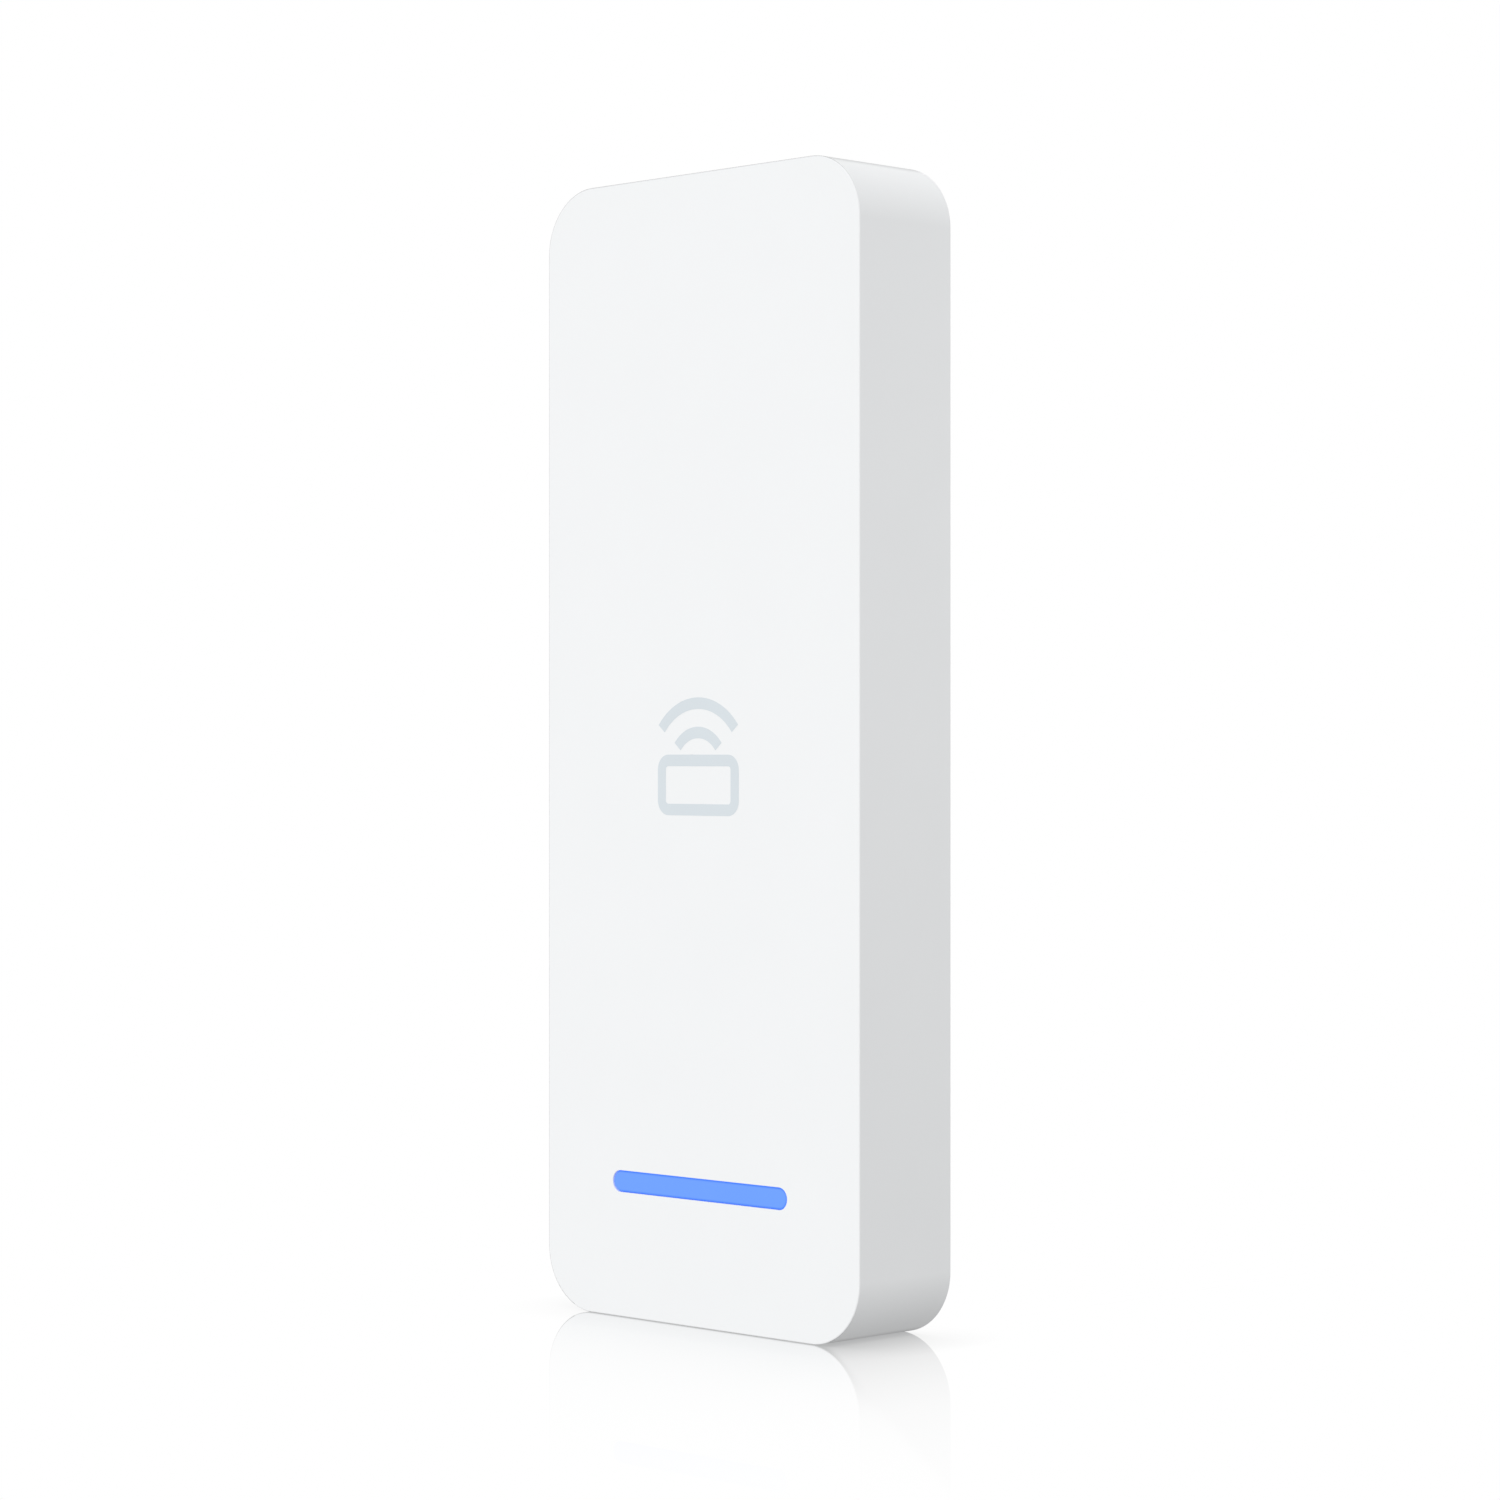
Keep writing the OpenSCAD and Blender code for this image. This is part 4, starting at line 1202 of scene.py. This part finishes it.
# %% Round edges on frame parts
edge_widths = {
    "rear_cover": 0.15, "rating_label": 0.03, "reset_button": 0.2, "tamper_plunger": 0.2,
    "tamper_seal": 0.15, "vent_membrane": 0.05, "cover_gasket": 0.15, "jack_shield": 0.1,
    "jack_housing": 0.12, "jack_contacts": 0.05, "jack_seal": 0.12, "main_board": 0.05,
    "antenna_board": 0.05, "antenna_coil": 0.02, "ferrite_sheet": 0.05, "antenna_pins": 0.08,
    "radio_module": 0.15, "radio_antenna": 0.06, "reader_chip": 0.06, "reader_shield": 0.15,
    "processor": 0.1, "memory_chips": 0.08, "thermal_pad": 0.12, "heat_spreader": 0.12,
    "network_transformer": 0.2, "power_inductor": 0.35, "power_capacitors": 0.3, "rectifiers": 0.15,
    "beeper": 0.25, "reset_switch": 0.12, "tamper_switch": 0.12, "light_guide": 0.1,
    "light_reflector": 0.1, "status_leds": 0.06,
}
for node, width in edge_widths.items():
    ease(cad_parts[node], width * mm, 2, 35)
print("edges rounded on", len(edge_widths), "frame parts")

# %% [markdown]
# The rear cover and the gasket hide behind the plate. The rear cover is grey plastic from a mould
# with a coarser, sparked face; the gasket is closed foam; the seals are rubber. Foam needs pits
# that are deeper than its grain, so it mixes two sizes of noise.

# %% Rear cover, gasket and seals
pit_size = 0.5 * mm


def paint(finish, *nodes):
    """Gives frame parts their finish."""
    for node in nodes:
        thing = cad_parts[node]
        thing.data.materials.clear()
        thing.data.materials.append(finish)
    print(finish.name, "on", ", ".join(nodes))


def foam(name, colour, pit):
    """Soft black with open pits."""
    finish, tree, shader = new_finish(name)
    pits = tree.nodes.new("ShaderNodeTexVoronoi")
    where = tree.nodes.new("ShaderNodeTexCoord")
    pits.inputs["Scale"].default_value = 1 / pit
    tree.links.new(where.outputs["Object"], pits.inputs["Vector"])
    fine = noise(tree, pit / 3)
    tint = between(tree, fine, shade(colour, -0.35), shade(colour, 0.35))
    tree.links.new(tint, shader.inputs["Base Color"])
    tree.links.new(spread(tree, fine, 0.78, 0.95), shader.inputs["Roughness"])
    lift(tree, shader, calc(tree, "ADD", pits.outputs["Distance"], fine), pit / 12)
    return finish


paint(grained("rear_grey", (0.32, 0.33, 0.34), 0.55, 0.3, 9, 0.03), "rear_cover")
paint(grained("button_grey", (0.5, 0.51, 0.52), 0.45, 0.1, 2, 0.02), "reset_button")
paint(grained("plunger_white", (0.8, 0.79, 0.76), 0.35, 0.1, 1.5, 0.02), "tamper_plunger")
paint(foam("rubber_black", (0.022, 0.022, 0.023), pit_size), "cover_gasket", "jack_seal", "tamper_seal")

# %% [markdown]
# ## The rating label
#
# A label sits in a shallow recess of the rear cover, so that a fingernail can't lift it. Real
# ones are crowded; this one has only a frame and three rules, printed as thin ribbons. The foil
# is polyester: nearly white, smooth, with the faint mottle of its glue showing through.

# %% Label and membrane
label_low, label_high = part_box("rating_label")
label_back = -label_high[1]
label_x, label_z = [(label_low[i] + label_high[i]) / 2 for i in (0, 2)]
label_width, label_height = [label_high[i] - label_low[i] for i in (0, 2)]
print_depths = (label_back - 0.01 * mm, label_back + 0.01 * mm)
rule = 0.22 * mm
margin = 1.6 * mm
rule_start = label_high[0] - 2.5 * mm
rule_lines = ((2.4 * mm, 1.0), (0.4 * mm, 0.7), (-1.6 * mm, 0.85))      # height, share of the width

label_frame = [(label_x + x, label_z + z) for x, z in
               round_outline(label_width - margin, label_height - margin, 0.6 * mm, 6)]
rules = [ribbon(label_frame, rule, True, *print_depths)]
for z, share in rule_lines:
    run = (label_width - 5 * mm) * share
    line = [(rule_start - run, label_z + z), (rule_start, label_z + z)]
    rules.append(ribbon(line, rule, False, *print_depths))
label_ink = grained("label_ink", (0.09, 0.09, 0.1), 0.5, 0.05, 0.6, 0.08)
dress(join("label_print", rules), label_ink, "reader")
paint(grained("label_white", (0.78, 0.78, 0.77), 0.32, 0.6, 1.2, 0.015), "rating_label")
paint(grained("membrane_white", (0.82, 0.82, 0.8), 0.85, 0.04, 5, 0.03), "vent_membrane")

# %% [markdown]
# ## Circuit boards
#
# A board is glass cloth under green lacquer. Copper tracks run beneath the lacquer and lift it a
# little, so they show as lighter green lines that turn in right angles, with the weave of the
# cloth between them. The joints of a brick pattern turn in right angles too, and stand in for
# tracks. One pattern alone looks like a wall, so two of different size are laid across each
# other, and each is blotted out in patches, as copper left whole for the ground would be.

# %% Board finish
lacquer_dark, lacquer_light = (0.008, 0.075, 0.03), (0.012, 0.1, 0.042)
track_green = (0.05, 0.24, 0.1)
# each row: size of the bricks, shift of each course, width of a joint, turn in degrees, size of the patches
track_layers = ((2.3 * mm, 0.37, 0.04, 0, 6 * mm), (1.3 * mm, 0.61, 0.05, 90, 4 * mm))


def brick_joints(tree, size, shift, joint, turn):
    """1 along the joints of a brick wall that stands in the board's plane, and 0 elsewhere."""
    bricks = tree.nodes.new("ShaderNodeTexBrick")
    bricks.offset = shift
    for key, number in (("Scale", 1 / size), ("Mortar Size", joint), ("Mortar Smooth", 0.1),
                        ("Brick Width", 3.1), ("Row Height", 0.35)):
        bricks.inputs[key].default_value = number
    flat = mapped(tree, "Rotation", (math.radians(90), 0, math.radians(turn)))
    tree.links.new(flat, bricks.inputs["Vector"])
    return bricks.outputs["Fac"]


def board_finish():
    """Green lacquer over tracks and woven glass."""
    finish, tree, shader = new_finish("board_green")
    layers = []
    for *wall_of_bricks, patch in track_layers:
        shown = calc(tree, "GREATER_THAN", noise(tree, patch), 0.5)
        layers.append(calc(tree, "MULTIPLY", brick_joints(tree, *wall_of_bricks), shown))
    track = calc(tree, "MAXIMUM", *layers)
    weave = noise(tree, 0.35 * mm, (1, 1, 3))
    lacquer = between(tree, spread(tree, weave, 0, 1), lacquer_dark, lacquer_light)
    tree.links.new(between(tree, track, lacquer, track_green), shader.inputs["Base Color"])
    tree.links.new(spread(tree, weave, 0.26, 0.38), shader.inputs["Roughness"])
    lift(tree, shader, calc(tree, "ADD", track, calc(tree, "MULTIPLY", weave, 0.25)), 12 * micron)
    return finish


paint(board_finish(), "main_board", "antenna_board")
paint(grained("copper_track", (0.75, 0.33, 0.16), 0.3, 0.07, 1, 0.08, metal=1), "antenna_coil")
paint(grained("gold_plate", (0.85, 0.6, 0.22), 0.22, 0.05, 0.6, 0.05, metal=1), "antenna_pins")

# %% [markdown]
# ## Chips, shields and coils
#
# Chip bodies are pressed from black epoxy with fine sand in it: matt, with a faint sparkle.
# Shields and the cooling plate are sheet metal that kept the lines of the rolling mill, so their
# grain is drawn out in one direction. Ferrite and ceramic are fired powders, dense and smooth.

# %% Finishes of the parts on the board
# each row: colour, roughness, grain in mm, its depth in microns, how uneven, and for metals
# a 1 and perhaps how the grain is drawn out; then the parts that wear it
recipes = {
    "chip_black": (((0.03, 0.03, 0.032), 0.5, 0.06, 2.5, 0.1),
                   ("reader_chip", "processor", "memory_chips", "rectifiers", "beeper")),
    "transformer_black": (((0.04, 0.038, 0.036), 0.42, 0.2, 5, 0.1), ("network_transformer",)),
    "shield_tin": (((0.66, 0.66, 0.64), 0.3, 0.1, 1.2, 0.04, 1, (14, 1, 1)),
                   ("radio_module", "reader_shield")),
    "aluminium_plate": (((0.74, 0.745, 0.75), 0.34, 0.09, 1.6, 0.03, 1, (1, 1, 18)), ("heat_spreader",)),
    "ceramic": (((0.74, 0.72, 0.66), 0.28, 0.08, 1, 0.04), ("radio_antenna",)),
    "ferrite": (((0.055, 0.052, 0.055), 0.46, 0.12, 3, 0.12), ("ferrite_sheet",)),
    "choke_grey": (((0.13, 0.13, 0.135), 0.55, 0.1, 6, 0.1), ("power_inductor",)),
    "thermal_silicone": (((0.24, 0.36, 0.46), 0.7, 0.25, 8, 0.06), ("thermal_pad",)),
    "switch_plastic": (((0.05, 0.05, 0.052), 0.4, 0.09, 2, 0.08), ("reset_switch", "tamper_switch")),
    "jack_plastic": (((0.035, 0.035, 0.037), 0.48, 0.18, 4, 0.08), ("jack_housing",)),
    "jack_steel": (((0.6, 0.6, 0.59), 0.28, 0.1, 1.4, 0.05, 1, (1, 1, 16)), ("jack_shield",)),
    "contact_gold": (((0.83, 0.58, 0.2), 0.24, 0.05, 0.6, 0.06, 1), ("jack_contacts",)),
    "reflector_white": (((0.86, 0.86, 0.85), 0.38, 0.15, 3, 0.02), ("light_reflector",)),
    "led_phosphor": (((0.82, 0.66, 0.16), 0.3, 0.08, 2, 0.05), ("status_leds",)),
}
finishes = {}
for name, (recipe, nodes) in recipes.items():
    finishes[name] = grained(name, *recipe)
    paint(finishes[name], *nodes)
print("finishes made:", len(finishes))

# %% [markdown]
# The block behind the lens is clear acrylic with a matt skin: light enters from the lamps and
# leaves through the face. Clear plastic is the one finish here that lets light through, so it
# has a colour of nearly white, and its noise goes only into the polish.

# %% Clear block
acrylic_bend = 1.49                   # how strongly acrylic bends light

acrylic, tree, shader = new_finish("clear_acrylic")
fine = noise(tree, 0.1 * mm)
tree.links.new(between(tree, fine, (0.93, 0.96, 0.99), (0.98, 0.99, 1.0)), shader.inputs["Base Color"])
tree.links.new(spread(tree, fine, 0.12, 0.3), shader.inputs["Roughness"])
shader.inputs["Transmission Weight"].default_value = 0.9
shader.inputs["IOR"].default_value = acrylic_bend
lift(tree, shader, fine, 1.5 * micron)
paint(acrylic, "light_guide")

# %% [markdown]
# ## Capacitors
#
# The two big capacitors are aluminium cans. Each is drawn from sheet, rolled in near its foot to
# grip the rubber plug, and scored with a cross on top that opens before the can would burst. The
# turned profile gives the rolled neck; the cross is cut; the plastic foot is a separate plate.

# %% Capacitor cans
can_low, can_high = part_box("power_capacitors")
can_radius = (can_high[0] - can_low[0]) / 2
can_x = (can_low[0] + can_high[0]) / 2
can_places = [(can_x, can_low[2] + can_radius), (can_x, can_high[2] - can_radius)]
can_top = -can_high[1]                # the tops face the wall
can_foot = -can_low[1]
can_base = can_foot - 0.6 * mm        # where the can meets its plastic foot
can_bend = 0.35 * mm
neck = can_base - 0.9 * mm
rolled_neck = ((0, -0.35), (0.2, -0.15), (0.28, 0), (0.2, 0.15), (0, 0.35))      # mm in, mm along
score = 0.12 * mm
foot_chamfer = 1.1 * mm


def can():
    """One can with its rolled neck and scored top."""
    profile = [(0, can_top)] + round_over(can_radius, can_bend, can_top, can_bend, range(0, 91, 18))
    profile += [(can_radius - pull * mm, neck + step * mm) for pull, step in rolled_neck]
    profile += [(can_radius, can_base), (0, can_base)]
    shell = turned("can", [(radius, -depth) for radius, depth in profile])
    for long, wide in ((can_radius * 0.72, score), (score, can_radius * 0.72)):
        line = square_outline(2 * long, 2 * wide)
        cut(shell, slab("score", line, can_top - 0.2 * mm, can_top + 0.1 * mm))
    return shell


def can_plate():
    """The square foot, with two corners cut off to mark the poles."""
    half, cut_at = can_radius, can_radius - foot_chamfer
    outline = [(-half, -half), (half, -half), (half, cut_at), (cut_at, half),
               (-cut_at, half), (-half, cut_at)]
    return slab("plate", outline, can_base, can_foot)


can_metal = grained("capacitor_can", (0.7, 0.7, 0.71), 0.27, 0.08, 1, 0.04, metal=1, stretch=(1, 12, 1))
capacitor_cans = ease(set_down("capacitor_cans", can(), can_places), 0.04 * mm, 1, 40)
dress(capacitor_cans, can_metal, "reader", ["power_capacitors"])
capacitor_feet = ease(set_down("capacitor_feet", can_plate(), can_places), 0.08 * mm)
dress(capacitor_feet, finishes["switch_plastic"], "reader")

# %% [markdown]
# ## Legs and small parts
#
# Chips stand on bent legs. Each leg leaves the chip's side above the board, bends down and ends
# in a flat foot that is soldered. They could be drawn as one comb, but separate legs are what
# the real chip has. They are set out along both long sides of the chip's own box, so that they
# follow the chip if it is moved or made longer.

# %% Chip legs
leg_thick = 0.12 * mm
leg_wide = 0.3 * mm
leg_rise = 0.45 * mm
memory_wide = 6 * mm


def leg(x, z, side, reach):
    """One bent leg, out from a chip's side to its foot on the board's rear."""
    foot = board_back - leg_thick / 2
    path = [(x - side * 0.1 * mm, board_back - leg_rise), (x + side * reach * 0.35, board_back - leg_rise),
            (x + side * reach * 0.55, foot), (x + side * reach, foot)]
    return skin("leg", [[(px, -depth + dy * leg_thick / 2, z + dz * leg_wide / 2)
                         for dy, dz in ((-1, -1), (-1, 1), (1, 1), (1, -1))] for px, depth in path])


def legs(low, high, leg_pitch, reach):
    """Legs down both long sides of a chip between two corners."""
    count = int((high[2] - low[2] - 0.8 * mm) / leg_pitch) + 1
    first = (low[2] + high[2]) / 2 - leg_pitch * (count - 1) / 2
    return [leg(x, first + i * leg_pitch, side, reach)
            for side, x in ((-1, low[0]), (1, high[0])) for i in range(count)]


memory_low, memory_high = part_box("memory_chips")
memory_split = ((memory_low, (memory_low[0] + memory_wide, memory_high[1], memory_high[2])),
                ((memory_high[0] - memory_wide, memory_low[1], memory_low[2]), memory_high))
leg_parts = legs(*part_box("network_transformer"), 1.27 * mm, 0.95 * mm)
for low, high in memory_split:
    leg_parts += legs(low, high, 0.8 * mm, 0.8 * mm)
leg_count = len(leg_parts)
chip_legs = ease(join("chip_legs", leg_parts), 0.02 * mm, 1)
dress(chip_legs, finishes["shield_tin"], "reader")
print("legs:", leg_count)

# %% [markdown]
# Around the chips lie dozens of resistors and capacitors a millimetre long, each with a tinned
# cap at both ends. Their exact places don't matter to the eye, but their order does:
# they sit in short rows beside what they serve, in one of two directions. A few places are left
# empty, as on any real board, and a fixed seed keeps the same board every time.

# %% Small parts
random.seed(7)
left_empty = 0.12                     # share of the places
part_long, part_wide, part_tall = 1.0 * mm, 0.5 * mm, 0.38 * mm
cap_long = 0.22 * mm
cap_shift = (part_long - cap_long) / 2
sink = 0.02 * mm                      # the body lies this far inside its caps
body_size = (part_wide - 2 * sink, part_long - 2 * sink)
# each row: side of the board, first x, first z, step in x, step in z, how many, all in mm
part_rows = [
    ("front", 2.0, -40.0, 1.7, 0, 7), ("front", 2.0, -37.6, 1.7, 0, 7), ("front", 4.0, -33.0, 1.7, 0, 5),
    ("front", -12.0, 54.0, 1.8, 0, 5), ("front", -12.0, 56.0, 1.8, 0, 5), ("front", 12.5, -12.0, 0, 2.1, 9),
    ("front", -12.5, -12.0, 0, 2.1, 9), ("front", 15.5, -10.0, 0, 2.1, 6), ("front", -15.5, 6.0, 0, 2.1, 6),
    ("rear", -12.0, -42.0, 1.8, 0, 12), ("rear", -10.0, -39.6, 1.8, 0, 10), ("rear", -6.0, 37.5, 1.8, 0, 7),
    ("rear", -15.0, 31.5, 0, 2.0, 4), ("rear", 14.0, 32.0, 0, 2.0, 4),
]


def block(x, z, size, turned_up, depths):
    """A block about (x, z), its size given for a part that stands upright."""
    width, height = size if turned_up else size[::-1]
    return slab("block", square_outline(width, height), *depths, x, z)


bodies_made, caps_made = [], []
for side, x0, z0, dx, dz, count in part_rows:
    turned_up = dx != 0
    for i in range(count):
        if random.random() < left_empty:
            continue
        x, z = (x0 + i * dx) * mm, (z0 + i * dz) * mm
        tall = part_tall * random.choice((0.8, 1.0, 1.25))
        if side == "front":
            depths = (board_front, board_front + tall)
            body_depths = (depths[0], depths[1] - sink)
        else:
            depths = (board_back - tall, board_back)
            body_depths = (depths[0] + sink, depths[1])
        bodies_made.append(block(x, z, body_size, turned_up, body_depths))
        for shift in (-cap_shift, cap_shift):
            place = (x, z + shift) if turned_up else (x + shift, z)
            caps_made.append(block(*place, (part_wide, cap_long), turned_up, depths))
part_count = len(bodies_made)
small_bodies = ease(join("small_part_bodies", bodies_made), 0.03 * mm, 1)
small_caps = ease(join("small_part_caps", caps_made), 0.03 * mm, 1)
small_ceramic = grained("small_ceramic", (0.28, 0.2, 0.13), 0.4, 0.06, 1, 0.25)
dress(small_bodies, small_ceramic, "reader")
dress(small_caps, finishes["shield_tin"], "reader")
print("small parts set down:", part_count)
